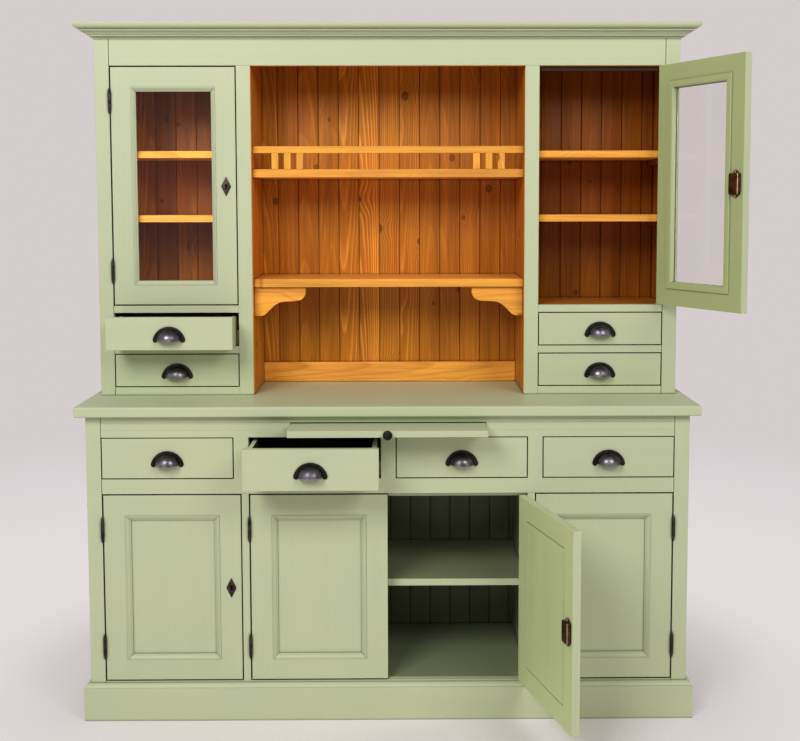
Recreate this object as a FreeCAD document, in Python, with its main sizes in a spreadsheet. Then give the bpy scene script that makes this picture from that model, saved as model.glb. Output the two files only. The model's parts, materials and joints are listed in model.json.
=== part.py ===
import FreeCAD, Part
import Sketcher
import math
import os

# Green welsh dresser: a cupboard base with drawers and a writing slide under a worktop, and a hutch
# of two glazed cupboards beside an open shelved bay. Millimetres, +Z up, +X to the right, the front
# towards -Y, and the origin on the floor under the middle of the base.

dimensions = {
    # carcass and boards
    "carcass_width": 1842,
    "base_depth": 510,
    "hutch_setback": 200,
    "side_thick": 20,
    "frame_thick": 24,
    "board_thick": 20,
    "back_thick": 14,
    "back_board": 69,
    "base_back_board": 118,
    "back_groove": 2.5,
    "back_joint": 0.2,
    "corner_stile": 45,
    # plinth
    "plinth_height": 115,
    "plinth_face": 103,
    "plinth_projection": 18,
    "plinth_lip": 2,
    "plinth_cove": 17,
    "bearer_width": 60,
    "floor_rise": 5,
    "bottom_rail": 60,
    # front of the base, from the cupboard floor up
    "base_door_opening": 587,
    "mid_rail": 46,
    "base_drawer_opening": 129,
    "top_rail": 66,
    "door_muntin": 22,
    "drawer_muntin": 45,
    "base_shelf_level": 300,
    "base_shelf_setback": 60,
    # worktop
    "worktop_overhang": 29,
    "worktop_thick": 32,
    "worktop_round": 5,
    # writing slide
    "slide_width": 593,
    "slide_thick": 20,
    "slide_length": 400,
    "slide_rise": 22,
    "slide_side_clearance": 1.5,
    "slide_top_clearance": 2.4,
    "slide_bearing": 40,
    "slide_guide": 25,
    "slide_pull": 127,
    "knob_radius": 14.5,
    "knob_neck": 6.5,
    "knob_neck_length": 8,
    "knob_swell": 8,
    "knob_rim": 2,
    "knob_dome": 6,
    # front of the hutch, from the worktop up
    "hutch_foot_rail": 26,
    "hutch_drawer_opening": 108,
    "hutch_drawer_rail": 23,
    "hutch_door_opening": 756,
    "hutch_head": 119,
    "hutch_column": 398,
    "hutch_stile": 45,
    # shelves of the hutch
    "shelf_thick": 22,
    "shelf_cleat": 18,
    "cupboard_shelf_low": 287,
    "cupboard_shelf_high": 491,
    "cupboard_shelf_setback": 32,
    "bay_shelf_thick": 26,
    "bay_shelf_low": 370,
    "bay_shelf_high": 721,
    "bay_shelf_setback": 30,
    "back_rail_height": 68,
    "back_rail_thick": 15,
    # gallery on the upper bay shelf
    "gallery_rail": 22,
    "gallery_thick": 15,
    "gallery_slat": 22,
    "gallery_slat_height": 51,
    "gallery_pitch": 39.5,
    "gallery_end": 61,
    # brackets under the lower bay shelf
    "bracket_length": 165,
    "bracket_drop": 94,
    "bracket_tip": 16,
    "bracket_nose": 30,
    "bracket_waist": 48,
    "bracket_reach": 100,
    "bracket_hollow": 58,
    "bracket_heel": 24,
    "bracket_thick": 20,
    "bracket_setback": 15,
    # cornice
    "cornice_height": 46,
    "cornice_projection": 55,
    "cornice_rise": 10,
    "cornice_band": 8,
    "cornice_ovolo_drop": 10,
    "cornice_ovolo_reach": 16,
    "cornice_ovolo_radius": 14,
    "cornice_quirk": 3,
    "cornice_fillet": 7,
    "cornice_cove_drop": 9,
    "cornice_cove_reach": 17,
    "cornice_cove_radius": 14,
    "cornice_bead": 6,
    "cornice_bead_reach": 4,
    "cornice_bead_radius": 4.5,
    "cornice_foot": 4,
    # doors
    "door_gap": 1.6,
    "door_end_gap": 2,
    "meeting_gap": 2,
    "stop_clearance": 0.5,
    "stop_reach": 14,
    "stop_thick": 16,
    "base_door_stile": 66,
    "base_door_rail": 64,
    "hutch_door_stile": 68,
    "hutch_door_rail": 63,
    "tenon_length": 34,
    "tenon_thick": 8,
    "tenon_shoulder": 14,
    "fit_clearance": 0.2,
    "panel_thick": 12,
    "panel_tongue": 6,
    "panel_tongue_reach": 8,
    "panel_moulding": 16,
    "glass_moulding": 13,
    "glass_bead": 17,
    "glass_bead_proud": 2,
    "glass_thick": 3,
    "moulding_fillet": 3,
    "moulding_quirk": 1.5,
    "moulding_foot": 2.5,
    "base_door_open": 105,
    "hutch_door_open": 116,
    # hinges
    "leaf_thick": 1,
    "leaf_clearance": 0.4,
    "leaf_depth": 20,
    "knuckle_radius": 5,
    "knuckle_clearance": 0.3,
    "pin_radius": 2.5,
    "pin_clearance": 0.05,
    "barrel_length": 52,
    "finial_length": 14.5,
    "finial_tip": 1.6,
    "hinge_inset": 108,
    # locks and keyhole plates
    "lock_width": 40,
    "lock_height": 62,
    "lock_thick": 13,
    "lock_corner": 6,
    "lock_bevel": 3,
    "lock_edge": 12,
    "lock_lug": 8,
    "lock_lug_width": 17,
    "lock_lug_thick": 4,
    "keyhole_edge": 33,
    "keyhole_plate_width": 31,
    "keyhole_plate_height": 62,
    "keyhole_plate_thick": 2.5,
    "keyhole_plate_bevel": 1.2,
    "keyhole_radius": 3.5,
    "keyhole_waist": 2.6,
    "keyhole_foot": 5,
    "keyhole_drop": 6,
    # drawers
    "drawer_gap": 1.5,
    "drawer_front": 22,
    "drawer_side": 14,
    "drawer_side_inset": 10,
    "drawer_side_drop": 12,
    "drawer_bottom": 6,
    "drawer_bottom_rise": 8,
    "drawer_groove": 6,
    "run_clearance": 0.3,
    "guide_height": 50,
    "kicker_reach": 30,
    "kicker_thick": 10,
    "drawer_stop_length": 40,
    "drawer_stop_depth": 20,
    "drawer_stop_height": 5,
    "base_drawer_rear_clearance": 56,
    "hutch_drawer_rear_clearance": 34,
    "base_drawer_pull": 170,
    "hutch_drawer_pull": 125,
    # cup handles
    "handle_radius": 51,
    "handle_band": 12,
    "handle_plate": 3,
    "handle_ear_angle": 16.8,
    "handle_lap": 3,
    "cup_half_width": 35,
    "cup_radius": 31,
    "cup_wall": 2.5,
    "cup_foot": 8,
}

doc = FreeCAD.newDocument("welsh_dresser")
sheet = doc.addObject("Spreadsheet::Sheet", "dims")
for row, (alias, number) in enumerate(dimensions.items(), 1):
    sheet.set(f"A{row}", alias)
    sheet.set(f"B{row}", str(number))
    sheet.setAlias(f"B{row}", alias)
doc.recompute()


class Size:
    """A length worked out from the sheet: the formula that binds it, and its value now."""

    def __init__(self, formula, value):
        self.formula = formula
        self.value = value

    def __add__(self, other):
        other = as_size(other)
        return Size(f"({self.formula} + {other.formula})", self.value + other.value)

    def __neg__(self):
        return Size(f"(-1 * {self.formula})", -self.value)

    def __sub__(self, other):
        other = as_size(other)
        return Size(f"({self.formula} - {other.formula})", self.value - other.value)

    def __mul__(self, other):
        other = as_size(other)
        return Size(f"({self.formula} * {other.formula})", self.value * other.value)

    def __truediv__(self, other):
        other = as_size(other)
        return Size(f"({self.formula} / {other.formula})", self.value / other.value)

    __radd__ = __add__
    __rmul__ = __mul__


def as_size(amount):
    """A plain number becomes a size with no cell behind it."""
    if isinstance(amount, Size):
        return amount
    return Size(f"({amount})", amount)


def cosine(angle):
    return Size(f"cos({angle.formula})", math.cos(math.radians(angle.value)))


def sine(angle):
    return Size(f"sin({angle.formula})", math.sin(math.radians(angle.value)))


class Dimensions:
    """The sheet's driving dimensions, each under its alias."""


d = Dimensions()
for alias, number in dimensions.items():
    setattr(d, alias, Size(f"dims.{alias}", float(number)))

nodes = []
LEFT = -1
RIGHT = 1
SIDES = (LEFT, RIGHT)


def bind(item, prop, amount):
    item.setExpression(prop, as_size(amount).formula)


def put(item, x=0, y=0, z=0, rotation=None):
    """Turn an object as given, then place its origin."""
    if rotation is not None:
        item.Placement = FreeCAD.Placement(FreeCAD.Vector(), rotation)
    for axis, place in zip("xyz", (x, y, z)):
        bind(item, f"Placement.Base.{axis}", place)
    return item


def turn(x, y, z, degrees):
    return FreeCAD.Rotation(FreeCAD.Vector(x, y, z), degrees)


def span(one, other):
    """Two places in rising order, for a piece that is mirrored from side to side."""
    one, other = as_size(one), as_size(other)
    return (one, other) if one.value < other.value else (other, one)


def board(name, x, y, z):
    """A squared board between a low and a high place on each axis."""
    box = doc.addObject("Part::Box", name)
    for side, axis, (low, high) in zip(("Length", "Width", "Height"), "xyz", (x, y, z)):
        low, high = as_size(low), as_size(high)
        bind(box, side, high - low)
        bind(box, f"Placement.Base.{axis}", low)
    return box


def rod(name, radius, low, high, x=0, y=0):
    """An upright round rod."""
    cylinder = doc.addObject("Part::Cylinder", name)
    bind(cylinder, "Radius", radius)
    bind(cylinder, "Height", high - low)
    return put(cylinder, x, y, low)


def cut(name, piece, *tools):
    """A piece less what the tools take out of it."""
    for tool in tools:
        result = doc.addObject("Part::Cut", name)
        result.Base = piece
        result.Tool = tool
        piece = result
    return piece


def fuse(name, *pieces):
    """Pieces that are made in one."""
    result = doc.addObject("Part::MultiFuse", name)
    result.Shapes = list(pieces)
    return result


def shared(name, *pieces):
    """What several pieces have in common."""
    result = doc.addObject("Part::MultiCommon", name)
    result.Shapes = list(pieces)
    return result


def copy(name, piece, x=0, y=0, z=0, rotation=None):
    """A piece again, at another place."""
    carrier = doc.addObject("Part::Compound", name)
    carrier.Links = [piece]
    return put(carrier, x, y, z, rotation)


def node(label, pieces):
    """One named sub-part, of one or more separate solids."""
    group = doc.addObject("Part::Compound", label)
    group.Label = label
    group.Links = list(pieces)
    nodes.append(group)
    return group


def outline(body, plane, *loops):
    """A sketch of closed loops on one of the body's own planes. A corner is its two places; a third
    value is the radius of an arc on to the next corner, which swells to the left of the way there
    when positive and to the right when negative."""
    sketch = body.newObject("Sketcher::SketchObject", f"{body.Name}_outline")
    planes = {feature.Role: feature for feature in body.Origin.OriginFeatures}
    sketch.AttachmentSupport = [(planes[plane], "")]
    sketch.MapMode = "FlatFace"
    for corners in loops:
        draw_loop(sketch, corners)
    return sketch


def draw_loop(sketch, corners):
    ends = []
    for corner, following in zip(corners, corners[1:] + corners[:1]):
        start = FreeCAD.Vector(as_size(corner[0]).value, as_size(corner[1]).value, 0)
        stop = FreeCAD.Vector(as_size(following[0]).value, as_size(following[1]).value, 0)
        if len(corner) == 2:
            edge = sketch.addGeometry(Part.LineSegment(start, stop))
            ends.append((edge, 1, 2))
            continue
        radius = as_size(corner[2])
        swell = math.copysign(1, radius.value)
        chord = stop - start
        left = FreeCAD.Vector(-chord.y, chord.x, 0).normalize()
        depth = math.sqrt(radius.value ** 2 - (chord.Length / 2) ** 2)
        centre = (start + stop) / 2 - left * (swell * depth)
        first, last = (stop, start) if swell > 0 else (start, stop)
        angles = [math.atan2(point.y - centre.y, point.x - centre.x) for point in (first, last)]
        circle = Part.Circle(centre, FreeCAD.Vector(0, 0, 1), abs(radius.value))
        edge = sketch.addGeometry(Part.ArcOfCircle(circle, *angles))
        ends.append((edge, 2, 1) if swell > 0 else (edge, 1, 2))
        rule = sketch.addConstraint(Sketcher.Constraint("Radius", edge, abs(radius.value)))
        bind(sketch, f"Constraints[{rule}]", radius * swell)
    for (edge, first, last), (next_edge, next_first, next_last) in zip(ends, ends[1:] + ends[:1]):
        sketch.addConstraint(Sketcher.Constraint("Coincident", edge, last, next_edge, next_first))
    for (edge, first, last), corner in zip(ends, corners):
        for kind, place in zip(("DistanceX", "DistanceY"), corner):
            place = as_size(place)
            rule = sketch.addConstraint(Sketcher.Constraint(kind, -1, 1, edge, first, place.value))
            bind(sketch, f"Constraints[{rule}]", place)


def new_body(name):
    return doc.addObject("PartDesign::Body", name)


def pad(body, sketch, length, symmetric=False, reverse=False):
    feature = body.newObject("PartDesign::Pad", f"{body.Name}_pad")
    feature.Profile = sketch
    feature.Reversed = reverse
    if symmetric:
        feature.SideType = "Symmetric"
    bind(feature, "Length", length)
    return feature


def ring(radius, sides):
    """The corners of a round section, drawn with flats."""
    return [(radius * math.cos(2 * math.pi * (place + 0.5) / sides),
             radius * math.sin(2 * math.pi * (place + 0.5) / sides)) for place in range(sides)]


def flatted(name, sides, widest, profile):
    """A round piece about an upright axis, drawn with flats: a bar of its profile is turned about the
    axis, and the piece is what all the turns share. The profile gives the radii of its corners and
    their places, from the foot up."""
    bar = new_body(f"{name}_bar")
    flat = math.cos(math.pi / sides)
    corners = [(radius * flat, place) for radius, place in profile]
    corners += [(-radius, place) for radius, place in reversed(corners)]
    pad(bar, outline(bar, "XZ_Plane", corners), widest * 4, symmetric=True)
    turns = [copy(f"{name}_turn", bar, rotation=turn(0, 0, 1, 360 / sides * step)) for step in range(sides // 2)]
    return shared(name, *turns)


def lofted(body, plane, sections, kind="AdditiveLoft"):
    """A ruled loft through sections, each given by its place along the plane's normal and its corners."""
    sketches = []
    for place, corners in sections:
        sketch = outline(body, plane, corners)
        bind(sketch, "AttachmentOffset.Base.z", place)
        sketches.append(sketch)
    feature = body.newObject(f"PartDesign::{kind}", f"{body.Name}_loft")
    feature.Profile = sketches[0]
    feature.Sections = sketches[1:]
    feature.Ruled = True
    return feature


def strip(name, profile, length, width, mitred=SIDES):
    """A length of moulding along X. Its profile is drawn in depth (Y) and in distance from its outer
    edge (Z), and each end named in mitred is cut at 45 degrees, shorter towards the inner edge."""
    body = new_body(name)
    pad(body, outline(body, "YZ_Plane", profile), length, symmetric=True)
    margin = 5
    waste = []
    for end in mitred:
        tip = length / 2 * end
        waste.append([(tip + margin * end, -as_size(margin)), (tip + margin * end, width + margin),
                      (tip - (width + margin) * end, width + margin)])
    pocket = body.newObject("PartDesign::Pocket", f"{name}_mitres")
    pocket.Profile = outline(body, "XZ_Plane", *waste)
    pocket.Type = "ThroughAll"
    pocket.SideType = "Symmetric"
    return body


def moulding_frame(name, profile, width, x, z, y):
    """Four mitred strips round a rectangle, which is given by its outer edges."""
    (left, right), (low, high) = x, z
    centre_x = (left + right) / 2
    centre_z = (low + high) / 2
    strips = []
    for way, (length, place_x, place_z) in {
            0: (right - left, centre_x, low),
            90: (high - low, left, centre_z),
            180: (right - left, centre_x, high),
            270: (high - low, right, centre_z)}.items():
        piece = strip(f"{name}_{way}", profile, length, width)
        strips.append(put(piece, place_x, y, place_z, turn(0, 1, 0, way)))
    return strips


def back_boards(name, pitch, half_width, y, z):
    """Upright boards with chamfered edges, laid from the middle outwards; the outermost are ripped
    to fit."""
    whole = int((half_width.value - pitch.value / 2) // pitch.value)
    boards = []
    for place in range(-whole - 1, whole + 2):
        low = pitch * (place - 0.5)
        high = pitch * (place + 0.5)
        if place < -whole:
            low = -half_width
        if place > whole:
            high = as_size(half_width)
        low = low + d.back_joint / 2
        high = high - d.back_joint / 2
        chamfer = d.back_groove
        (face, rear) = y
        body = new_body(f"{name}_{place + whole + 2}")
        section = outline(body, "XY_Plane", [
            (low, face + chamfer), (low + chamfer, face), (high - chamfer, face),
            (high, face + chamfer), (high, rear), (low, rear)])
        pad(body, section, z[1] - z[0])
        boards.append(put(body, z=z[0]))
    return boards


# Places along the width, the depth and the height that the pieces share
half = d.carcass_width / 2
inner = half - d.side_thick
opening_edge = half - d.corner_stile
front = -d.base_depth / 2
back = d.base_depth / 2
frame_back = front + d.frame_thick
back_face = back - d.back_thick
door_thick = d.frame_thick - d.stop_clearance

floor_level = d.plinth_height + d.floor_rise
bottom_low = floor_level - d.board_thick
mid_low = floor_level + d.base_door_opening
drawer_low = mid_low + d.mid_rail
dust_low = drawer_low - d.board_thick
drawer_high = drawer_low + d.base_drawer_opening
base_top = drawer_high + d.top_rail
worktop_top = base_top + d.worktop_thick
slot_low = drawer_high + d.slide_rise
slot_high = slot_low + d.run_clearance + d.slide_thick + d.slide_top_clearance
slot_half = d.slide_width / 2 + d.slide_side_clearance

centre_half = (opening_edge - d.door_muntin) / 2
partition_in = centre_half + (d.door_muntin - d.board_thick) / 2
partition_out = partition_in + d.board_thick
drawer_opening = (opening_edge * 2 - d.drawer_muntin * 3) / 4
drawer_pitch = drawer_opening + d.drawer_muntin

hutch_front = front + d.hutch_setback
hutch_frame_back = hutch_front + d.frame_thick
hutch_drawer_1 = worktop_top + d.hutch_foot_rail
hutch_rail_1 = hutch_drawer_1 + d.hutch_drawer_opening
hutch_drawer_2 = hutch_rail_1 + d.hutch_drawer_rail
hutch_rail_2 = hutch_drawer_2 + d.hutch_drawer_opening
cupboard_floor = hutch_rail_2 + d.hutch_drawer_rail
hutch_head_low = cupboard_floor + d.hutch_door_opening
hutch_top = hutch_head_low + d.hutch_head
column_in = opening_edge - d.hutch_column
bay_half = column_in - d.hutch_stile
bay_wall = bay_half + d.board_thick
runner_reach = d.drawer_gap + d.drawer_side_inset - d.run_clearance


def plinth():
    """Moulded boards mitred round the foot of the base, with a plain rail across the back."""
    profile = [
        (0, d.plinth_projection), (0, d.plinth_projection - d.plinth_lip * 2, -d.plinth_cove),
        (d.plinth_height - d.plinth_face, d.plinth_lip), (d.plinth_height - d.plinth_face, 0),
        (d.plinth_height, 0), (d.plinth_height, d.plinth_projection)]
    across = d.carcass_width + d.plinth_projection * 2
    along = d.base_depth + d.plinth_projection
    lay_front = turn(1, 0, 0, -90)
    pieces = [put(strip("plinth_front", profile, across, d.plinth_projection), 0,
                  front - d.plinth_projection, d.plinth_height, lay_front)]
    for side in SIDES:
        piece = strip("plinth_return", profile, along, d.plinth_projection, (-side,))
        lay_side = turn(0, 0, 1, 90 * side) * lay_front
        middle = (front - d.plinth_projection + back) / 2
        pieces.append(put(piece, (half + d.plinth_projection) * side, middle, d.plinth_height, lay_side))
    pieces.append(board("plinth_back", (-inner, inner), (back_face, back), (0, bottom_low)))
    node("plinth", pieces)
    bearers = []
    for place in (-centre_half, as_size(0), centre_half):
        width = (place - d.bearer_width / 2, place + d.bearer_width / 2)
        bearers.append(board("plinth_bearer", width, (frame_back, back_face), (0, bottom_low)))
    node("plinth_bearers", bearers)


def base_carcass():
    """Sides, floor, partitions, shelves on cleats and the boarded back."""
    depth = (frame_back, back_face)
    sides = []
    partitions = []
    for side in SIDES:
        sides.append(board("base_side", span(inner * side, half * side), (frame_back, back), (0, base_top)))
        partitions.append(board("base_partition", span(partition_in * side, partition_out * side),
                                depth, (floor_level, dust_low)))
    node("base_sides", sides)
    node("base_partitions", partitions)
    node("base_floor", [board("base_floor_board", (-inner, inner), depth, (bottom_low, floor_level))])
    node("base_back", back_boards("base_back_board", d.base_back_board, inner, (back_face, back), (bottom_low, base_top)))
    top = floor_level + d.base_shelf_level
    low = top - d.shelf_thick
    shelf_front = front + d.base_shelf_setback
    pieces = []
    for bay in ((-inner, -partition_out), (-partition_in, partition_in), (partition_out, inner)):
        pieces.append(board("base_shelf", bay, (shelf_front, back_face), (low, top)))
        for edge, reach in zip(bay, (d.shelf_cleat, -d.shelf_cleat)):
            pieces.append(board("base_cleat", span(edge, edge + reach),
                                (shelf_front + d.shelf_cleat, back_face), (low - d.shelf_cleat, low)))
    node("base_shelves", pieces)


def base_face_frame():
    """Stiles, rails and muntins of the base front. The top rail is built up of two rails and two short
    blocks, which leave the slot for the writing slide."""
    depth = (front, frame_back)
    width = (-opening_edge, opening_edge)
    pieces = []
    for side in SIDES:
        pieces.append(board("base_stile", span(opening_edge * side, half * side), depth, (0, base_top)))
        edges = span(centre_half * side, (centre_half + d.door_muntin) * side)
        pieces.append(board("door_muntin", edges, depth, (floor_level, mid_low)))
    pieces.append(board("bottom_rail", width, depth, (floor_level - d.bottom_rail, floor_level)))
    pieces.append(board("mid_rail", width, depth, (mid_low, drawer_low)))
    pieces.append(board("slot_lower_rail", width, depth, (drawer_high, slot_low)))
    pieces.append(board("slot_upper_rail", width, depth, (slot_high, base_top)))
    for side in SIDES:
        edges = span(slot_half * side, opening_edge * side)
        pieces.append(board("slot_block", edges, depth, (slot_low, slot_high)))
    for place in SIDES + (0,):
        centre = drawer_pitch * place
        edges = (centre - d.drawer_muntin / 2, centre + d.drawer_muntin / 2)
        pieces.append(board("drawer_muntin", edges, depth, (drawer_low, drawer_high)))
    node("base_face_frame", pieces)


def drawer_stops(x_low, width, face, level):
    """Two blocks on the board under a drawer, just behind its front."""
    stop_face = face + d.drawer_front + d.stop_clearance
    blocks = []
    for share in (0.25, 0.75):
        centre = x_low + width * share
        edges = (centre - d.drawer_stop_length / 2, centre + d.drawer_stop_length / 2)
        blocks.append(board("drawer_stop", edges, (stop_face, stop_face + d.drawer_stop_depth),
                            (level, level + d.drawer_stop_height)))
    return blocks


def base_drawer_bearings():
    """Dust board, guides between the drawers, kickers over them and the slide's runners."""
    depth = (frame_back, back_face)
    node("base_dust_board", [board("dust_board", (-inner, inner), depth, (dust_low, drawer_low))])
    guide_height = (drawer_low, drawer_low + d.guide_height)
    kicker_height = (drawer_high, drawer_high + d.kicker_thick)
    pieces = []
    for place in SIDES + (0,):
        centre = drawer_pitch * place
        reach = d.drawer_muntin / 2 + runner_reach
        pieces.append(board("drawer_guide", (centre - reach, centre + reach), depth, guide_height))
        reach = d.drawer_muntin / 2 + d.kicker_reach
        pieces.append(board("drawer_kicker", (centre - reach, centre + reach), depth, kicker_height))
    for side in SIDES:
        edges = span((opening_edge - runner_reach) * side, inner * side)
        pieces.append(board("side_guide", edges, depth, guide_height))
        edges = span((opening_edge - d.kicker_reach) * side, inner * side)
        pieces.append(board("side_kicker", edges, depth, kicker_height))
    for number in range(4):
        pieces += drawer_stops(drawer_pitch * number - opening_edge, drawer_opening, front, drawer_low)
    node("base_drawer_guides", pieces)
    runners = []
    for side in SIDES:
        wide = span((slot_half - d.slide_bearing) * side, (slot_half + d.slide_guide) * side)
        guide = span(slot_half * side, (slot_half + d.slide_guide) * side)
        runners.append(board("slide_bearer", wide, depth, (drawer_high + d.kicker_thick, slot_low)))
        runners.append(board("slide_side_guide", guide, depth, (slot_low, slot_high)))
        runners.append(board("slide_keeper", wide, depth, (slot_high, base_top)))
    node("slide_runners", runners)


def worktop():
    """One wide board with a rounded edge all round the front and the ends."""
    body = new_body("worktop_board")
    reach = half + d.worktop_overhang
    edge = front - d.worktop_overhang
    section = outline(body, "XY_Plane", [(-reach, edge), (reach, edge), (reach, back), (-reach, back)])
    pad(body, section, d.worktop_thick)
    doc.recompute()
    block = body.Tip
    worn = []
    for number, side in enumerate(block.Shape.Edges, 1):
        flat = abs(side.BoundBox.ZLength) < 1e-6
        if flat and side.CenterOfMass.y < back.value - 1e-6:
            worn.append(f"Edge{number}")
    fillet = body.newObject("PartDesign::Fillet", "worktop_edge")
    fillet.Base = (block, worn)
    bind(fillet, "Radius", d.worktop_round)
    node("worktop", [put(body, z=base_top)])


def hutch_carcass():
    """Sides, bay walls, top, boards under the drawers and cupboards, and the boarded back."""
    depth = (hutch_frame_back, back_face)
    sides = []
    walls = []
    boards = []
    floors = []
    guides = []
    for side in SIDES:
        sides.append(board("hutch_side", span(inner * side, half * side), (hutch_frame_back, back),
                           (worktop_top, hutch_top)))
        walls.append(board("bay_wall", span(bay_half * side, bay_wall * side), depth,
                           (worktop_top, hutch_top - d.board_thick)))
        column = span(bay_wall * side, inner * side)
        floors.append(board("cupboard_floor", column, depth, (cupboard_floor - d.board_thick, cupboard_floor)))
        for level in (hutch_drawer_1, hutch_drawer_2):
            boards.append(board("hutch_dust_board", column, depth, (level - d.board_thick, level)))
            guides += drawer_stops(span(column_in * side, opening_edge * side)[0], d.hutch_column, hutch_front, level)
            for low, high in ((bay_wall, column_in + runner_reach), (opening_edge - runner_reach, inner)):
                guides.append(board("hutch_guide", span(low * side, high * side), depth,
                                    (level, level + d.guide_height)))
    node("hutch_sides", sides)
    node("bay_walls", walls)
    node("hutch_drawer_boards", boards + guides)
    node("cupboard_floors", floors)
    node("hutch_top", [board("hutch_top_board", (-inner, inner), depth, (hutch_top - d.board_thick, hutch_top))])
    node("hutch_back", back_boards("hutch_back_board", d.back_board, inner, (back_face, back), (worktop_top, hutch_top)))


def hutch_face_frame():
    """Stiles, head and short rails of the hutch front."""
    depth = (hutch_front, hutch_frame_back)
    pieces = [board("hutch_head", (-opening_edge, opening_edge), depth, (hutch_head_low, hutch_top))]
    for side in SIDES:
        pieces.append(board("hutch_corner_stile", span(opening_edge * side, half * side), depth,
                            (worktop_top, hutch_top)))
        pieces.append(board("hutch_inner_stile", span(bay_half * side, column_in * side), depth,
                            (worktop_top, hutch_head_low)))
        column = span(column_in * side, opening_edge * side)
        for low, high in ((worktop_top, hutch_drawer_1), (hutch_rail_1, hutch_drawer_2),
                          (hutch_rail_2, cupboard_floor)):
            pieces.append(board("hutch_rail", column, depth, (low, high)))
    node("hutch_face_frame", pieces)


def hutch_shelves():
    """Cupboard shelves on cleats, the two bay shelves and the rail along the foot of the bay's back."""
    shelf_front = hutch_front + d.cupboard_shelf_setback
    pieces = []
    for side in SIDES:
        for level in (d.cupboard_shelf_low, d.cupboard_shelf_high):
            top = cupboard_floor + level
            low = top - d.shelf_thick
            pieces.append(board("cupboard_shelf", span(bay_wall * side, inner * side),
                                (shelf_front, back_face), (low, top)))
            for edge, reach in ((bay_wall, d.shelf_cleat), (inner, -d.shelf_cleat)):
                pieces.append(board("cupboard_cleat", span(edge * side, (edge + reach) * side),
                                    (shelf_front + d.shelf_cleat, back_face), (low - d.shelf_cleat, low)))
    node("cupboard_shelves", pieces)
    shelf_front = hutch_front + d.bay_shelf_setback
    shelves = []
    for level in (d.bay_shelf_low, d.bay_shelf_high):
        top = worktop_top + level
        shelves.append(board("bay_shelf", (-bay_half, bay_half), (shelf_front, back_face),
                             (top - d.bay_shelf_thick, top)))
    node("bay_shelves", shelves)
    node("bay_back_rail", [board("back_rail", (-bay_half, bay_half), (back_face - d.back_rail_thick, back_face),
                                 (worktop_top, worktop_top + d.back_rail_height))])


def gallery():
    """A low rail on short slats along the front of the upper bay shelf."""
    shelf_front = hutch_front + d.bay_shelf_setback
    depth = (shelf_front, shelf_front + d.gallery_thick)
    low = worktop_top + d.bay_shelf_high
    high = low + d.gallery_slat_height
    pieces = [board("gallery_rail", (-bay_half, bay_half), depth, (high, high + d.gallery_rail))]
    for side in SIDES:
        for place in range(3):
            edge = bay_half - d.gallery_end - d.gallery_pitch * place
            pieces.append(board("gallery_slat", span(edge * side, (edge - d.gallery_slat) * side),
                                depth, (low, high)))
    node("plate_gallery", pieces)


def shelf_brackets():
    """Sawn brackets in the corners under the lower bay shelf: a blunt tip, a round nose, a hollow that
    turns down at 45 degrees, and a round heel at the wall."""
    top = worktop_top + d.bay_shelf_low - d.bay_shelf_thick
    face = hutch_front + d.bay_shelf_setback + d.bracket_setback
    slope = math.sqrt(0.5)
    hollow_x = d.bracket_reach - d.bracket_hollow * slope
    hollow_z = d.bracket_waist + d.bracket_hollow * (1 - slope)
    heel_z = d.bracket_drop - d.bracket_heel * (1 - slope)
    heel_x = hollow_x - (heel_z - hollow_z)
    pieces = []
    for side in SIDES:
        body = new_body("bracket")
        wall = -bay_half * side
        reach = [
            (0, 0), (d.bracket_length, 0), (d.bracket_length, d.bracket_tip, d.bracket_nose * side),
            (d.bracket_length - d.bracket_nose, d.bracket_tip + d.bracket_nose),
            (d.bracket_reach, d.bracket_waist, -d.bracket_hollow * side), (hollow_x, hollow_z),
            (heel_x, heel_z, d.bracket_heel * side), (heel_x - d.bracket_heel * slope, d.bracket_drop),
            (0, d.bracket_drop)]
        corners = [(wall + as_size(out) * side, top - down, *radius) for out, down, *radius in reach]
        pad(body, outline(body, "XZ_Plane", corners), d.bracket_thick, reverse=True)
        pieces.append(put(body, y=face))
    node("shelf_brackets", pieces)


def cornice():
    """A moulded cornice mitred round the top: an upright band, an ovolo, a fillet, a cove and a bead."""
    across = d.carcass_width + d.cornice_projection * 2
    along = back - hutch_front + d.cornice_projection
    ovolo_foot = d.cornice_band + d.cornice_ovolo_drop
    fillet_in = d.cornice_ovolo_reach + d.cornice_quirk
    fillet_foot = ovolo_foot + d.cornice_fillet
    cove_foot = fillet_foot + d.cornice_cove_drop
    cove_in = fillet_in + d.cornice_cove_reach
    bead_in = cove_in + d.cornice_quirk
    bead_foot = cove_foot + d.cornice_bead
    profile = [
        (0, d.cornice_projection), (0, 0), (d.cornice_band, 0, -d.cornice_ovolo_radius),
        (ovolo_foot, d.cornice_ovolo_reach), (ovolo_foot, fillet_in),
        (fillet_foot, fillet_in, d.cornice_cove_radius), (cove_foot, cove_in),
        (cove_foot, bead_in, -d.cornice_bead_radius), (bead_foot, bead_in + d.cornice_bead_reach),
        (bead_foot, d.cornice_projection - d.cornice_foot),
        (d.cornice_height, d.cornice_projection - d.cornice_foot), (d.cornice_height, d.cornice_projection)]
    top = hutch_top + d.cornice_rise
    lay_front = turn(1, 0, 0, -90)
    pieces = [put(strip("cornice_front", profile, across, d.cornice_projection), 0,
                  hutch_front - d.cornice_projection, top, lay_front)]
    for side in SIDES:
        piece = strip("cornice_return", profile, along, d.cornice_projection, (-side,))
        middle = (hutch_front - d.cornice_projection + back) / 2
        pieces.append(put(piece, (half + d.cornice_projection) * side, middle, top,
                          turn(0, 0, 1, 90 * side) * lay_front))
    node("cornice", pieces)


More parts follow.
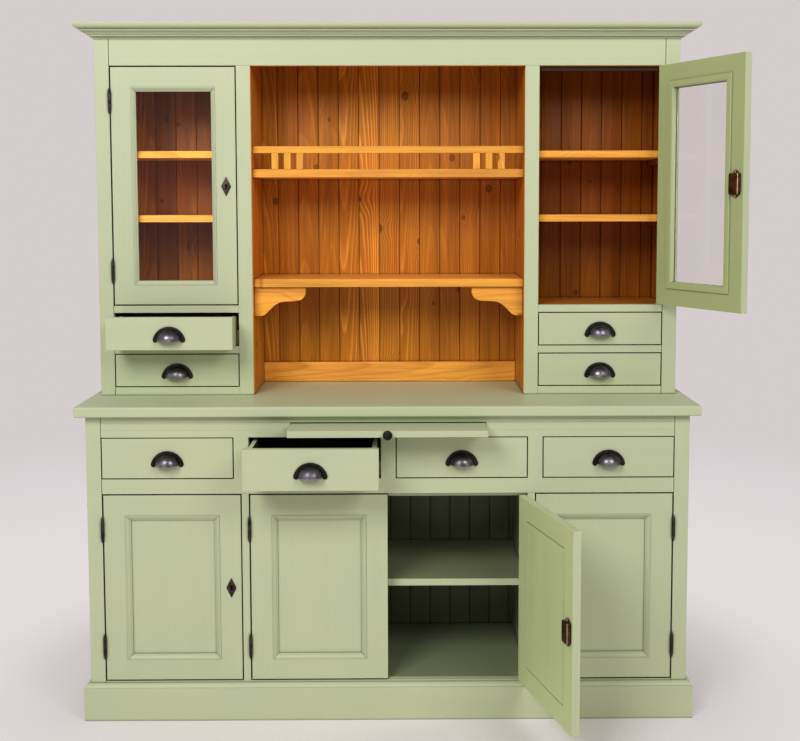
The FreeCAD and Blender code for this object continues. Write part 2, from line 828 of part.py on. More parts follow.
def door_stops():
    """Strips behind the rails over the doors, which the closed doors meet."""
    pieces = []
    depth = (frame_back, frame_back + d.stop_thick)
    for bay in ((-inner, -partition_out), (-partition_in, partition_in), (partition_out, inner)):
        pieces.append(board("base_door_stop", bay, depth, (mid_low - d.stop_reach, dust_low)))
    depth = (hutch_frame_back, hutch_frame_back + d.stop_thick)
    for side in SIDES:
        pieces.append(board("hutch_door_stop", span(bay_wall * side, inner * side), depth,
                            (hutch_head_low - d.stop_reach, hutch_head_low + d.stop_reach)))
    node("door_stops", pieces)


leaf_gap = d.leaf_thick * 2 + d.leaf_clearance
axis_proud = d.knuckle_radius + d.knuckle_clearance


def hinge_flap(name, centre, hand, knuckles):
    """The flat of one leaf of a butt hinge, about an upright axis, with the roots that it is rolled
    from. hand is the side of the axis that it lies on, and knuckles are its places along the barrel."""
    half_height = d.barrel_length / 2
    flat = span((d.leaf_clearance / 2) * hand, (leaf_gap / 2) * hand)
    pieces = [board(f"{name}_leaf", flat, (axis_proud, axis_proud + d.leaf_depth),
                    (centre - half_height, centre + half_height))]
    root = (d.knuckle_radius + d.pin_radius) / 2
    for low, high in knuckles:
        pieces.append(board(f"{name}_root", flat, (root, axis_proud), (centre + low, centre + high)))
    return pieces


barrel_sides = 8
knuckle_end = d.barrel_length / 6 + d.leaf_clearance / 2
moving_end = d.barrel_length / 6 - d.leaf_clearance / 2
finial = flatted("hinge_finial", barrel_sides, d.knuckle_radius, [
    (d.knuckle_radius, knuckle_end), (d.knuckle_radius, d.barrel_length / 2),
    (d.finial_tip, d.barrel_length / 2 + d.finial_length)])


flat_pin = flatted("hinge_flat_pin", barrel_sides, d.pin_radius, [
    (d.pin_radius, -d.barrel_length / 2), (d.pin_radius, d.barrel_length / 2)])


def fixed_leaf(name, centre, hand, round_pin):
    """The frame's leaf. Its two knuckles hold the pin, and each ends in a tapered finial."""
    half_height = d.barrel_length / 2
    pieces = hinge_flap(name, centre, hand, ((-half_height, -knuckle_end), (knuckle_end, half_height)))
    pieces.append(copy(f"{name}_upper", finial, z=centre))
    pieces.append(copy(f"{name}_lower", finial, z=centre, rotation=turn(1, 0, 0, 180)))
    if round_pin:
        pieces.append(rod(f"{name}_pin", d.pin_radius, centre - half_height, centre + half_height))
    else:
        pieces.append(copy(f"{name}_pin", flat_pin, z=centre))
    return fuse(f"{name}_forged", *pieces)


def moving_leaf(name, centre, hand):
    """The door's leaf. Its one knuckle turns on the pin between the other two."""
    pieces = hinge_flap(name, centre, hand, ((-moving_end, moving_end),))
    for radius, label in ((d.knuckle_radius, "knuckle"),
                          ((d.pin_radius + d.pin_clearance) / math.cos(math.pi / barrel_sides), "bore")):
        body = new_body(f"{name}_{label}")
        pad(body, outline(body, "XY_Plane", ring(radius, barrel_sides)), moving_end * 2, symmetric=True)
        pieces.append(put(body, z=centre))
    bore = pieces.pop()
    return cut(f"{name}_bored", fuse(f"{name}_forged", *pieces), bore)


def fixed_hinges(name, x, y, low, high, hand):
    """The frame's half of a door's two hinges. hand is the side that the door is on. The upper pin is
    drawn round, and the lower one with flats like the barrels."""
    pieces = []
    for centre, round_pin in ((low + d.hinge_inset, False), (high - d.hinge_inset, True)):
        leaf = fixed_leaf(f"{name}_fixed", centre, -hand, round_pin)
        pieces.append(copy(f"{name}_set", leaf, x, y))
    return pieces


def door_frame(name, width, low, high, stile, rail, hand, grooved):
    """Stiles and rails with stub tenons, drawn from the hinge axis. Returns the pieces and the edges
    of the space inside them."""
    near = leaf_gap / 2
    far = near + width
    depth = (axis_proud, axis_proud + door_thick)
    tenon_y = axis_proud + (door_thick - d.tenon_thick) / 2
    tenon_depth = (tenon_y, tenon_y + d.tenon_thick)
    slack = d.fit_clearance
    mortise_depth = (tenon_depth[0] - slack, tenon_depth[1] + slack)
    tongue_y = axis_proud + door_thick - d.panel_thick + (d.panel_thick - d.panel_tongue) / 2
    groove_depth = (tongue_y - slack, tongue_y + d.panel_tongue + slack)
    groove = d.panel_tongue_reach + slack
    rails = ((low, low + rail), (high - rail, high))
    inside = ((near + stile, far - stile), (low + rail, high - rail))
    pieces = []
    for outer, edge, way in ((near, near + stile, -1), (far, far - stile, 1)):
        piece = board(f"{name}_stile", span(outer * hand, edge * hand), depth, (low, high))
        tools = []
        for bottom, top in rails:
            tools.append(board(f"{name}_mortise", span(edge * hand, (edge + (d.tenon_length + slack) * way) * hand),
                               mortise_depth, (bottom + d.tenon_shoulder - slack, top - d.tenon_shoulder + slack)))
        if grooved:
            tools.append(board(f"{name}_groove", span(edge * hand, (edge + groove * way) * hand),
                               groove_depth, inside[1]))
        pieces.append(cut(f"{name}_worked_stile", piece, *tools))
    for (bottom, top), edge, way in zip(rails, inside[1], (-1, 1)):
        bar = board(f"{name}_rail", span(inside[0][0] * hand, inside[0][1] * hand), depth, (bottom, top))
        tenon = board(f"{name}_tenon", span((inside[0][0] - d.tenon_length) * hand,
                                            (inside[0][1] + d.tenon_length) * hand),
                      tenon_depth, (bottom + d.tenon_shoulder, top - d.tenon_shoulder))
        piece = fuse(f"{name}_tenoned_rail", bar, tenon)
        if grooved:
            piece = cut(f"{name}_worked_rail", piece, board(
                f"{name}_groove", span(inside[0][0] * hand, inside[0][1] * hand), groove_depth,
                span(edge, edge + groove * way)))
        pieces.append(piece)
    return pieces, inside


def ovolo(width, depth):
    """Section of a planted moulding: a fillet at the face, a quirk, and a round down to a thin foot."""
    return [(depth, 0), (0, 0), (0, d.moulding_fillet), (d.moulding_quirk, d.moulding_fillet, width),
            (depth - d.moulding_foot, width - d.moulding_foot),
            (depth - d.moulding_foot, width), (depth, width)]


def panel_and_moulding(name, inside, hand):
    """A flat panel tongued into the frame, flush inside, with a moulding planted round its face."""
    slack = d.fit_clearance
    face = axis_proud + door_thick - d.panel_thick
    (near, far), (low, high) = inside
    body = board(f"{name}_field", span((near + slack) * hand, (far - slack) * hand),
                 (face, axis_proud + door_thick), (low + slack, high - slack))
    tongue_y = face + (d.panel_thick - d.panel_tongue) / 2
    reach = d.panel_tongue_reach
    tongue = board(f"{name}_tongue", span((near - reach) * hand, (far + reach) * hand),
                   (tongue_y, tongue_y + d.panel_tongue), (low - reach, high + reach))
    pieces = [fuse(f"{name}_panel", body, tongue)]
    profile = ovolo(d.panel_moulding, face - axis_proud)
    pieces += moulding_frame(f"{name}_moulding", profile, d.panel_moulding,
                             span(near * hand, far * hand), (low, high), axis_proud)
    return pieces


def cut_corners(wide, tall, corner):
    """A rectangle about the middle with its corners cut off."""
    short, low = wide - corner, tall - corner
    return [(-short, -tall), (short, -tall), (wide, -low), (wide, low),
            (short, tall), (-short, tall), (-wide, low), (-wide, -low)]


def lock_and_keyhole(name, width, low, high, hand):
    """A rim lock inside the free edge of a door, with a screw lug at each end of its case, and the
    bevelled keyhole plate on the door's face."""
    middle = (low + high) / 2
    edge = leaf_gap / 2 + width
    back_of_door = axis_proud + door_thick
    case = new_body(f"{name}_case")
    wide = d.lock_width / 2
    tall = d.lock_height / 2
    lofted(case, "XZ_Plane", [
        (0, cut_corners(wide, tall, d.lock_corner)),
        (-(d.lock_thick - d.lock_bevel), cut_corners(wide, tall, d.lock_corner)),
        (-d.lock_thick, cut_corners(wide - d.lock_bevel, tall - d.lock_bevel, d.lock_corner))])
    lugs = new_body(f"{name}_lugs")
    reach = tall + d.lock_lug
    shape = cut_corners(d.lock_lug_width / 2, reach, d.lock_lug_width / 4)
    pad(lugs, outline(lugs, "XZ_Plane", shape), d.lock_lug_thick, reverse=True)
    lock = fuse(f"{name}_lock", case, lugs)
    put(lock, (edge - d.lock_edge - wide) * hand, back_of_door, middle)
    plate = new_body(f"{name}_plate")
    wide = d.keyhole_plate_width / 2
    tall = d.keyhole_plate_height / 2
    slope = tall / wide
    bevel = d.keyhole_plate_bevel
    lofted(plate, "XZ_Plane", [
        (place, [(-across, 0), (0, -across * slope), (across, 0), (0, across * slope)])
        for place, across in ((0, wide), (d.keyhole_plate_thick - bevel, wide),
                              (d.keyhole_plate_thick, wide - bevel))])
    eye = [(x, z + d.keyhole_radius) for x, z in ring(d.keyhole_radius, 8)]
    waist = d.keyhole_waist / 2
    foot = d.keyhole_foot / 2
    keyhole = [(foot, -d.keyhole_drop), (waist, 0), eye[7], *eye[:5], (-waist, 0), (-foot, -d.keyhole_drop)]
    slot = plate.newObject("PartDesign::Pocket", f"{name}_keyhole")
    slot.Profile = outline(plate, "XZ_Plane", keyhole)
    slot.Type = "ThroughAll"
    slot.SideType = "Symmetric"
    put(plate, (edge - d.keyhole_edge) * hand, axis_proud, middle)
    return [lock, plate]


def hang(group, x, y, angle=0):
    """Set a door's pieces, drawn from the hinge axis, in their place and at their opening."""
    group.Placement = FreeCAD.Placement(FreeCAD.Vector(), turn(0, 0, 1, as_size(angle).value))
    bind(group, "Placement.Rotation.Angle", angle)
    put(group, x, y)


def moving_hinges(name, low, high, hand):
    leaves = []
    for centre in (low + d.hinge_inset, high - d.hinge_inset):
        leaves.append(moving_leaf(f"{name}_moving", centre, hand))
    return leaves


def base_doors():
    """Four panelled doors. The middle pair meets with no stile between; the third stands open."""
    low = floor_level + d.door_end_gap
    high = mid_low - d.door_end_gap
    outer_width = opening_edge - centre_half - d.door_muntin - leaf_gap - d.door_gap
    middle_width = centre_half - leaf_gap - d.meeting_gap / 2
    y = front - axis_proud
    fixed = []
    layout = ((opening_edge, LEFT, outer_width, True), (centre_half, LEFT, middle_width, False),
              (centre_half, RIGHT, middle_width, True), (opening_edge, RIGHT, outer_width, True))
    for number, (edge, side, width, locked) in enumerate(layout, 1):
        name = f"base_door_{number}"
        hand = -side
        x = (edge - leaf_gap / 2) * side
        angle = d.base_door_open if number == 3 else as_size(0)
        frame, inside = door_frame(name, width, low, high, d.base_door_stile, d.base_door_rail, hand, True)
        hang(node(name, frame + panel_and_moulding(name, inside, hand)), x, y, angle)
        iron = moving_hinges(name, low, high, hand)
        if locked:
            iron += lock_and_keyhole(name, width, low, high, hand)
        hang(node(f"{name}_ironwork", iron), x, y, angle)
        fixed += fixed_hinges(name, x, y, low, high, hand)
    node("base_hinge_leaves", fixed)


def hutch_doors():
    """Two glazed doors. The pane lies between a moulding on the face and beads inside."""
    low = cupboard_floor + d.door_end_gap
    high = hutch_head_low - d.door_end_gap
    width = d.hutch_column - leaf_gap - d.door_gap
    y = hutch_front - axis_proud
    fixed = []
    for word, side in (("left", LEFT), ("right", RIGHT)):
        name = f"glazed_door_{word}"
        hand = -side
        x = (opening_edge - leaf_gap / 2) * side
        angle = d.hutch_door_open if side == RIGHT else as_size(0)
        pieces, inside = door_frame(name, width, low, high, d.hutch_door_stile, d.hutch_door_rail, hand, False)
        (near, far), (bottom, top) = inside
        slack = d.fit_clearance
        glass_y = axis_proud + (door_thick - d.glass_thick) / 2
        profile = ovolo(d.glass_moulding, glass_y - slack - axis_proud)
        edges = span(near * hand, far * hand)
        pieces += moulding_frame(f"{name}_moulding", profile, d.glass_moulding, edges, (bottom, top), axis_proud)
        bead_y = glass_y + d.glass_thick + slack
        bead_depth = axis_proud + door_thick + d.glass_bead_proud - bead_y
        bead = [(0, 0), (0, d.glass_bead), (bead_depth - d.moulding_fillet, d.glass_bead, bead_depth * 2),
                (bead_depth, d.glass_bead - d.moulding_fillet), (bead_depth, 0)]
        pieces += moulding_frame(f"{name}_bead", bead, d.glass_bead, edges, (bottom, top), bead_y)
        hang(node(name, pieces), x, y, angle)
        pane = board(f"{name}_pane", span((near + slack) * hand, (far - slack) * hand),
                     (glass_y, glass_y + d.glass_thick), (bottom + slack, top - slack))
        hang(node(f"{name}_glass", [pane]), x, y, angle)
        iron = moving_hinges(name, low, high, hand) + lock_and_keyhole(name, width, low, high, hand)
        hang(node(f"{name}_ironwork", iron), x, y, angle)
        fixed += fixed_hinges(name, x, y, low, high, hand)
    node("hutch_hinge_leaves", fixed)


def arcsine(ratio):
    return Size(f"asin({ratio.formula})", math.degrees(math.asin(ratio.value)))


def cup_handle():
    """A cast cup handle: an arched band with round ears on the drawer front, and a hollow cup under
    which the fingers go. Its origin is the arch's centre, on the drawer front."""
    body = new_body("handle_band")
    outer = d.handle_radius
    core = outer - d.handle_band / 2
    within = outer - d.handle_band
    cap = d.handle_band / 2
    cos_ear = cosine(d.handle_ear_angle)
    sin_ear = sine(d.handle_ear_angle)
    ear_x = within * cos_ear
    ear_z = within * sin_ear
    rise = d.cup_foot + d.cup_radius - d.handle_lap - ear_z
    arch = (ear_x * ear_x + rise * rise) / (rise * 2)
    swing = arcsine(ear_x / arch)
    band = []
    steps = 10
    for step in range(steps + 1):
        angle = d.handle_ear_angle + (as_size(180) - d.handle_ear_angle * 2) * (step / steps)
        band.append((outer * cosine(angle), outer * sine(angle)))
    for turns in (45, 90, 135):
        angle = as_size(180 + turns) - d.handle_ear_angle
        band.append((cap * cosine(angle) - core * cos_ear, cap * sine(angle) + core * sin_ear))
    steps = 6
    for step in range(steps + 1):
        angle = swing * (2 * step / steps - 1)
        band.append((arch * sine(angle), ear_z + rise - arch + arch * cosine(angle)))
    for turns in (135, 90, 45):
        angle = d.handle_ear_angle - turns
        band.append((cap * cosine(angle) + core * cos_ear, cap * sine(angle) + core * sin_ear))
    pad(body, outline(body, "XZ_Plane", band), d.handle_plate)
    domes = []
    for name, wall, foot in (("cup_dome", as_size(0), d.cup_foot), ("cup_hollow", d.cup_wall, as_size(0))):
        wide = d.cup_half_width - wall
        tall = d.cup_radius - wall
        profile = [(wide, foot)]
        for tilt in (0, 32, 58, 78):
            level = d.cup_foot + tall * math.sin(math.radians(tilt))
            if tilt or wall.value:
                profile.append((wide * math.cos(math.radians(tilt)), level))
        domes.append(flatted(name, 12, d.cup_half_width, profile))
    reach = d.cup_half_width * 2
    before = board("cup_front", (-reach, reach), (-reach, 0), (0, reach))
    cup = cut("cup", shared("cup_block", domes[0], before), domes[1])
    return fuse("handle_cast", body, cup)


handle = cup_handle()


def drawer(name, x_low, width, face, low, height, rear_clearance, pull_out):
    """A drawer: a front over the opening's full width, grooved sides and front with the bottom let
    into them, a back above the bottom, and a cup handle."""
    high = low + height
    gap = d.drawer_gap
    front_back = face + d.drawer_front
    rear = back_face - rear_clearance
    slack = d.fit_clearance
    bottom_low = low + d.drawer_bottom_rise
    bottom_top = bottom_low + d.drawer_bottom
    side_top = high - gap - d.drawer_side_drop
    outer_low = x_low + gap + d.drawer_side_inset
    outer_high = x_low + width - gap - d.drawer_side_inset
    inner_low = outer_low + d.drawer_side
    inner_high = outer_high - d.drawer_side
    groove_reach = d.drawer_groove + slack
    groove = board(f"{name}_groove", (inner_low - groove_reach, inner_high + groove_reach),
                   (front_back - groove_reach, rear), (bottom_low - slack, bottom_top + slack))
    front_board = board(f"{name}_front_board", (x_low + gap, x_low + width - gap), (face, front_back),
                        (low + gap, high - gap))
    pieces = [cut(f"{name}_front", front_board, groove)]
    for edges in ((outer_low, inner_low), (inner_high, outer_high)):
        side = board(f"{name}_side_board", edges, (front_back, rear), (low + d.run_clearance, side_top))
        pieces.append(cut(f"{name}_side", side, groove))
    pieces.append(board(f"{name}_back", (inner_low, inner_high), (rear - d.drawer_side, rear),
                        (bottom_top + slack, side_top)))
    pieces.append(board(f"{name}_bottom", (inner_low - d.drawer_groove, inner_high + d.drawer_groove),
                        (front_back - d.drawer_groove, rear), (bottom_low, bottom_top)))
    put(node(name, pieces), y=-as_size(pull_out))
    lift = (d.handle_radius + d.handle_band / 2) / 2
    pull = copy(f"{name}_pull", handle, x_low + width / 2, face, low + height / 2 - lift)
    put(node(f"{name}_handle", [pull]), y=-as_size(pull_out))


def drawers():
    """Four drawers in the base and two in each column of the hutch."""
    for number in range(4):
        pull_out = d.base_drawer_pull if number == 1 else 0
        drawer(f"base_drawer_{number + 1}", drawer_pitch * number - opening_edge, drawer_opening, front,
               drawer_low, d.base_drawer_opening, d.base_drawer_rear_clearance, pull_out)
    for word, x_low in (("left", -opening_edge), ("right", column_in)):
        for level, low in (("upper", hutch_drawer_2), ("lower", hutch_drawer_1)):
            pull_out = d.hutch_drawer_pull if (word, level) == ("left", "upper") else 0
            drawer(f"hutch_drawer_{word}_{level}", x_low, d.hutch_column, hutch_front, low,
                   d.hutch_drawer_opening, d.hutch_drawer_rear_clearance, pull_out)


def writing_slide():
    """A board that draws out through the slot in the top rail, with a turned knob on its edge."""
    low = slot_low + d.run_clearance
    high = low + d.slide_thick
    leaf = board("slide_leaf", (-d.slide_width / 2, d.slide_width / 2), (front, front + d.slide_length), (low, high))
    put(node("writing_slide", [leaf]), y=-d.slide_pull)
    rim = d.knob_neck_length + d.knob_swell
    crown = rim + d.knob_rim
    head = [(d.knob_neck, d.knob_neck_length), (d.knob_radius, rim), (d.knob_radius, crown)]
    for tilt in (35, 70):
        head.append((d.knob_radius * math.cos(math.radians(tilt)),
                     crown + d.knob_dome * math.sin(math.radians(tilt))))
    neck = [(d.knob_neck, as_size(0)), (d.knob_neck, d.knob_neck_length)]
    knob = fuse("slide_knob_turned", flatted("knob_neck", 16, d.knob_neck, neck),
                flatted("knob_head", 16, d.knob_radius, head))
    put(knob, 0, front, (low + high) / 2, turn(1, 0, 0, 90))
    put(node("slide_knob", [knob]), y=-d.slide_pull)


plinth()
base_carcass()
base_face_frame()
base_drawer_bearings()
worktop()
hutch_carcass()
hutch_face_frame()
hutch_shelves()
gallery()
shelf_brackets()
cornice()
door_stops()
base_doors()
hutch_doors()
drawers()
writing_slide()
doc.recompute()

for item in doc.Objects:
    failed = [state for state in item.State if state in ("Invalid", "Error")]
    if failed:
        raise RuntimeError(f"{item.Label} did not build: {failed}")
for item in nodes:
    if item.Shape.isNull() or not item.Shape.isValid():
        raise RuntimeError(f"{item.Label} has no valid shape")

os.makedirs("parts", exist_ok=True)
for item in nodes:
    item.Shape.exportStep(f"parts/{item.Label}.step")
print(len(nodes), "sub-parts,", sum(len(item.Shape.Solids) for item in nodes), "solids")
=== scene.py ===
import json
import math
import random

import bmesh
import bpy
from mathutils import Matrix, Vector
from mathutils.bvhtree import BVHTree


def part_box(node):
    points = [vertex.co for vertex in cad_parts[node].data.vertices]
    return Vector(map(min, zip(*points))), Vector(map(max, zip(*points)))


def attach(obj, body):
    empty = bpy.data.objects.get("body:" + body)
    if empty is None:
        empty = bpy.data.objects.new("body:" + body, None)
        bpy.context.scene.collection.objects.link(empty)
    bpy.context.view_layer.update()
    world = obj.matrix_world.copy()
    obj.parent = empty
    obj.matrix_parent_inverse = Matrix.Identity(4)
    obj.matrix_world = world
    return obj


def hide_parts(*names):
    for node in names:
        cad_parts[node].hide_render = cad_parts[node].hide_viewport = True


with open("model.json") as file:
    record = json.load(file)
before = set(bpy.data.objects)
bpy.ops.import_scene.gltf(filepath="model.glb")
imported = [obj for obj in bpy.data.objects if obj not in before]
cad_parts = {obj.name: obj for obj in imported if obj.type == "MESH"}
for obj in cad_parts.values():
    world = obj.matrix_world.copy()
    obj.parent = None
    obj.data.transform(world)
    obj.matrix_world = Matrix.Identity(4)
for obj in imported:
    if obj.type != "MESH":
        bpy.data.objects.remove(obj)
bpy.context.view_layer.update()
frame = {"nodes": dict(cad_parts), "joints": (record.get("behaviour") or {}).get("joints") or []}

# The plinth: three moulded pine boards mitred round the foot of the base, a plain rail behind and
# bearers under the floor. It is painted sage green with the rest of the carcass, brushed along the
# grain of each board, over arrises that sandpaper has eased.
studio = bpy.context.scene.collection
same_point = 1e-5
log_length, log_width, log_heart = 2.5, 0.05, 0.012
slip_widest = 0.02
panel_thickest, panel_narrowest = 0.013, 0.05
# How far the painted shade in joints and corners reaches.
shade_reach = 0.008


def take_up(piece):
    """Make this the one selected object."""
    bpy.ops.object.select_all(action="DESELECT")
    piece.select_set(True)
    bpy.context.view_layer.objects.active = piece


def weld_boards(mesh):
    """Join up each board's own triangles and leave it apart from the boards that it touches."""
    work = bmesh.new()
    work.from_mesh(mesh)
    boards, board, unmatched = [], [], set()
    for face in work.faces:
        board.append(face)
        corners = [tuple(round(place, 6) for place in vert.co) for vert in face.verts]
        for start, stop in zip(corners, corners[1:] + corners[:1]):
            if (stop, start) in unmatched:
                unmatched.discard((stop, start))
            else:
                unmatched.add((start, stop))
        if not unmatched:
            boards.append(board)
            board = []
    for board in boards:
        verts = list(dict.fromkeys(vert for face in board for vert in face.verts))
        bmesh.ops.remove_doubles(work, verts=verts, dist=same_point)
    work.to_mesh(mesh)
    work.free()


def separate_boards(mesh):
    """Lists of the vertices of each board, found along its edges."""
    group = list(range(len(mesh.vertices)))

    def root(vert):
        while group[vert] != vert:
            group[vert] = group[group[vert]]
            vert = group[vert]
        return vert

    for edge in mesh.edges:
        one, other = (root(vert) for vert in edge.vertices)
        if one != other:
            group[max(one, other)] = min(one, other)
    boards = {}
    for vert in range(len(mesh.vertices)):
        boards.setdefault(root(vert), []).append(vert)
    return list(boards.values())


def board_box(places, verts):
    """The lowest and the highest corner of a board."""
    low = Vector(min(places[vert][axis] for vert in verts) for axis in range(3))
    high = Vector(max(places[vert][axis] for vert in verts) for axis in range(3))
    return low, high


def lay_grain(piece, closed, choose):
    """Give each board its grain, as places along, across and through it, and its own tone. Faces get
    the finish that choose names from the board's box, the face's middle and its normal."""
    mesh = piece.data
    places = [closed @ vert.co for vert in mesh.vertices]
    grain = [0.0] * (3 * len(places))
    tone = [0.0] * len(places)
    owner = {}
    boxes = []
    for number, verts in enumerate(separate_boards(mesh)):
        chance = random.Random(f"{piece.name} {number}")
        low, high = board_box(places, verts)
        order = sorted(range(3), key=lambda axis: low[axis] - high[axis])
        start = (chance.uniform(-log_length, log_length), chance.uniform(-log_width, log_width),
                 chance.uniform(log_heart, log_width))
        shade = chance.uniform(-1, 1)
        boxes.append((low, high))
        for vert in verts:
            for slot, axis in enumerate(order):
                middle = (low[axis] + high[axis]) / 2
                grain[3 * vert + slot] = places[vert][axis] - middle + start[slot]
            tone[vert] = shade
            owner[vert] = number
    mesh.attributes.new("grain", "FLOAT_VECTOR", "POINT").data.foreach_set("vector", grain)
    mesh.attributes.new("tone", "FLOAT", "POINT").data.foreach_set("value", tone)
    if choose:
        turn = closed.to_3x3()
        for face in mesh.polygons:
            low, high = boxes[owner[face.vertices[0]]]
            face.material_index = choose(low, high, closed @ face.center, turn @ face.normal)


def mark_arrises(mesh, closed, open_joints):
    """Weigh each sharp edge for the easing: full on a free arris and round a thin panel, less on a slip
    such as a moulding and where a board meets a slip or a panel, and none where two boards meet flush
    under the paint, unless open_joints keeps those joints open."""
    sharp = math.radians(30)
    step_in, touching_within = 0.002, 0.00045
    slip_easing, easing_beside_slip = 0.45, 0.8
    work = bmesh.new()
    work.from_mesh(mesh)
    work.faces.ensure_lookup_table()
    owner, slip, panel = {}, [], []
    places = [closed @ vert.co for vert in mesh.vertices]
    for number, verts in enumerate(separate_boards(mesh)):
        low, high = board_box(places, verts)
        thickness, width, length = sorted(high - low)
        slip.append(width < slip_widest)
        panel.append(thickness < panel_thickest and width > panel_narrowest)
        owner.update(dict.fromkeys(verts, number))
    board_of = [owner[face.verts[0].index] for face in work.faces]
    near = BVHTree.FromBMesh(work)
    weights = work.edges.layers.float.new("bevel_weight_edge")
    for edge in work.edges:
        if len(edge.link_loops) != 2 or edge.calc_face_angle() < sharp:
            continue
        own = owner[edge.verts[0].index]
        middle = (edge.verts[0].co + edge.verts[1].co) / 2
        mates = set()
        for loop in edge.link_loops:
            along = loop.link_loop_next.vert.co - loop.vert.co
            inward = loop.face.normal.cross(along).normalized()
            touching = near.find_nearest_range(middle + inward * step_in, touching_within)
            mates.update(board_of[hit[2]] for hit in touching if board_of[hit[2]] != own)
        weight = 1.0
        if slip[own]:
            weight = slip_easing
        elif mates and not panel[own]:
            eased = any(slip[mate] or panel[mate] for mate in mates)
            weight = easing_beside_slip if eased else float(open_joints)
        edge[weights] = weight
    work.to_mesh(mesh)
    work.free()


def dress(node, finishes, body="carcass", choose=None, arris=0.0012, closed=Matrix(), fit=None,
          open_joints=False):
    """A joiner's version of a CAD piece: its boards welded, fitted where fit says how, their arrises
    eased, and their finishes on. closed is what turns an open door back to its frame."""
    mesh = frame["nodes"][node].data.copy()
    mesh.materials.clear()
    weld_boards(mesh)
    places = [closed @ vert.co for vert in mesh.vertices]
    rails = fit(places, separate_boards(mesh)) if fit else ()
    opened = closed.inverted()
    for vert, place in zip(mesh.vertices, places):
        vert.co = opened @ place
    piece = bpy.data.objects.new(f"{node}_joinery", mesh)
    studio.objects.link(piece)
    take_up(piece)
    bpy.ops.mesh.customdata_custom_splitnormals_clear()
    bpy.ops.object.mode_set(mode="EDIT")
    bpy.ops.mesh.select_all(action="SELECT")
    bpy.ops.mesh.dissolve_limited(angle_limit=math.radians(0.4))
    for height in rails or ():
        bpy.ops.mesh.select_all(action="SELECT")
        bpy.ops.mesh.bisect(plane_co=(0, 0, height), plane_no=(0, 0, 1))
    bpy.ops.object.mode_set(mode="OBJECT")
    mark_arrises(mesh, closed, open_joints)
    easing = piece.modifiers.new("easing", "BEVEL")
    easing.width = arris
    easing.segments = 2
    easing.limit_method = "WEIGHT"
    easing.use_clamp_overlap = False
    bpy.ops.object.modifier_apply(modifier=easing.name)
    bpy.ops.object.shade_smooth_by_angle(angle=math.radians(20))
    for finish in finishes:
        mesh.materials.append(finish)
    lay_grain(piece, closed, choose)
    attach(piece, body)
    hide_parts(node)


def add(tree, kind, inputs=(), **settings):
    """One shader node, with its settings and what goes into it."""
    made = tree.nodes.new(kind)
    for name, setting in settings.items():
        setattr(made, name, setting)
    for place, value in dict(inputs).items():
        if isinstance(value, bpy.types.NodeSocket):
            tree.links.new(value, made.inputs[place])
        else:
            made.inputs[place].default_value = value
    return made


def start_finish(name):
    """A new finish with its node tree and its shader."""
    finish = bpy.data.materials.new(name)
    finish.use_nodes = True
    tree = finish.node_tree
    return finish, tree, tree.nodes["Principled BSDF"]


def sums(tree, operation, one, other):
    return add(tree, "ShaderNodeMath", {0: one, 1: other}, operation=operation).outputs[0]


def weighed(tree, base, *parts):
    """A base value plus each part by its strength."""
    for part, strength in parts:
        base = sums(tree, "ADD", base, sums(tree, "MULTIPLY", part, strength))
    return base


def between(tree, value, start, stop, low=0.0, high=1.0, **settings):
    """Map a value that runs from start to stop so that it runs from low to high, and no further."""
    limits = {"Value": value, "From Min": start, "From Max": stop, "To Min": low, "To Max": high}
    return add(tree, "ShaderNodeMapRange", limits, **settings).outputs[0]


def mixed(tree, share, one, other, **settings):
    """Two colours mixed, with this share of the other."""
    return add(tree, "ShaderNodeMix", {0: share, 6: one, 7: other}, data_type="RGBA", **settings).outputs[2]


def times(tree, colour, other):
    """A colour or a place, each of its three numbers multiplied by another's."""
    return add(tree, "ShaderNodeVectorMath", {0: colour, 1: other}, operation="MULTIPLY").outputs[0]


def dimmed(tree, colour, value):
    """A colour made brighter or darker all over."""
    return add(tree, "ShaderNodeVectorMath", {0: colour, "Scale": value}, operation="SCALE").outputs[0]


def mottle(tree, place, scale, detail):
    return add(tree, "ShaderNodeTexNoise", {"Vector": place, "Scale": scale, "Detail": detail}).outputs["Fac"]


def streaks(tree, grain, along, across, detail):
    """Mottling that is drawn out along the grain."""
    return mottle(tree, times(tree, grain, (along, across, across)), 1.0, detail)


def board_grain(tree):
    """A board's own grain and tone."""
    grain = add(tree, "ShaderNodeAttribute", attribute_name="grain").outputs["Vector"]
    tone = add(tree, "ShaderNodeAttribute", attribute_name="tone").outputs["Fac"]
    return grain, tone


def in_place(tree):
    return add(tree, "ShaderNodeTexCoord").outputs["Object"]


def joint_shade(tree, darkest):
    """How bright a surface is left by the painted shade in its joints, gaps and corners, where other surfaces
    lie close.
    """
    nearby = add(tree, "ShaderNodeAmbientOcclusion", {"Distance": shade_reach}, samples=6).outputs["AO"]
    return between(tree, nearby, 0.15, 0.92, darkest, 1.0)


def roughen(tree, shader, height, strength, distance):
    """Raise a relief on a surface."""
    relief = {"Height": height, "Strength": strength, "Distance": distance}
    tree.links.new(add(tree, "ShaderNodeBump", relief).outputs[0], shader.inputs["Normal"])


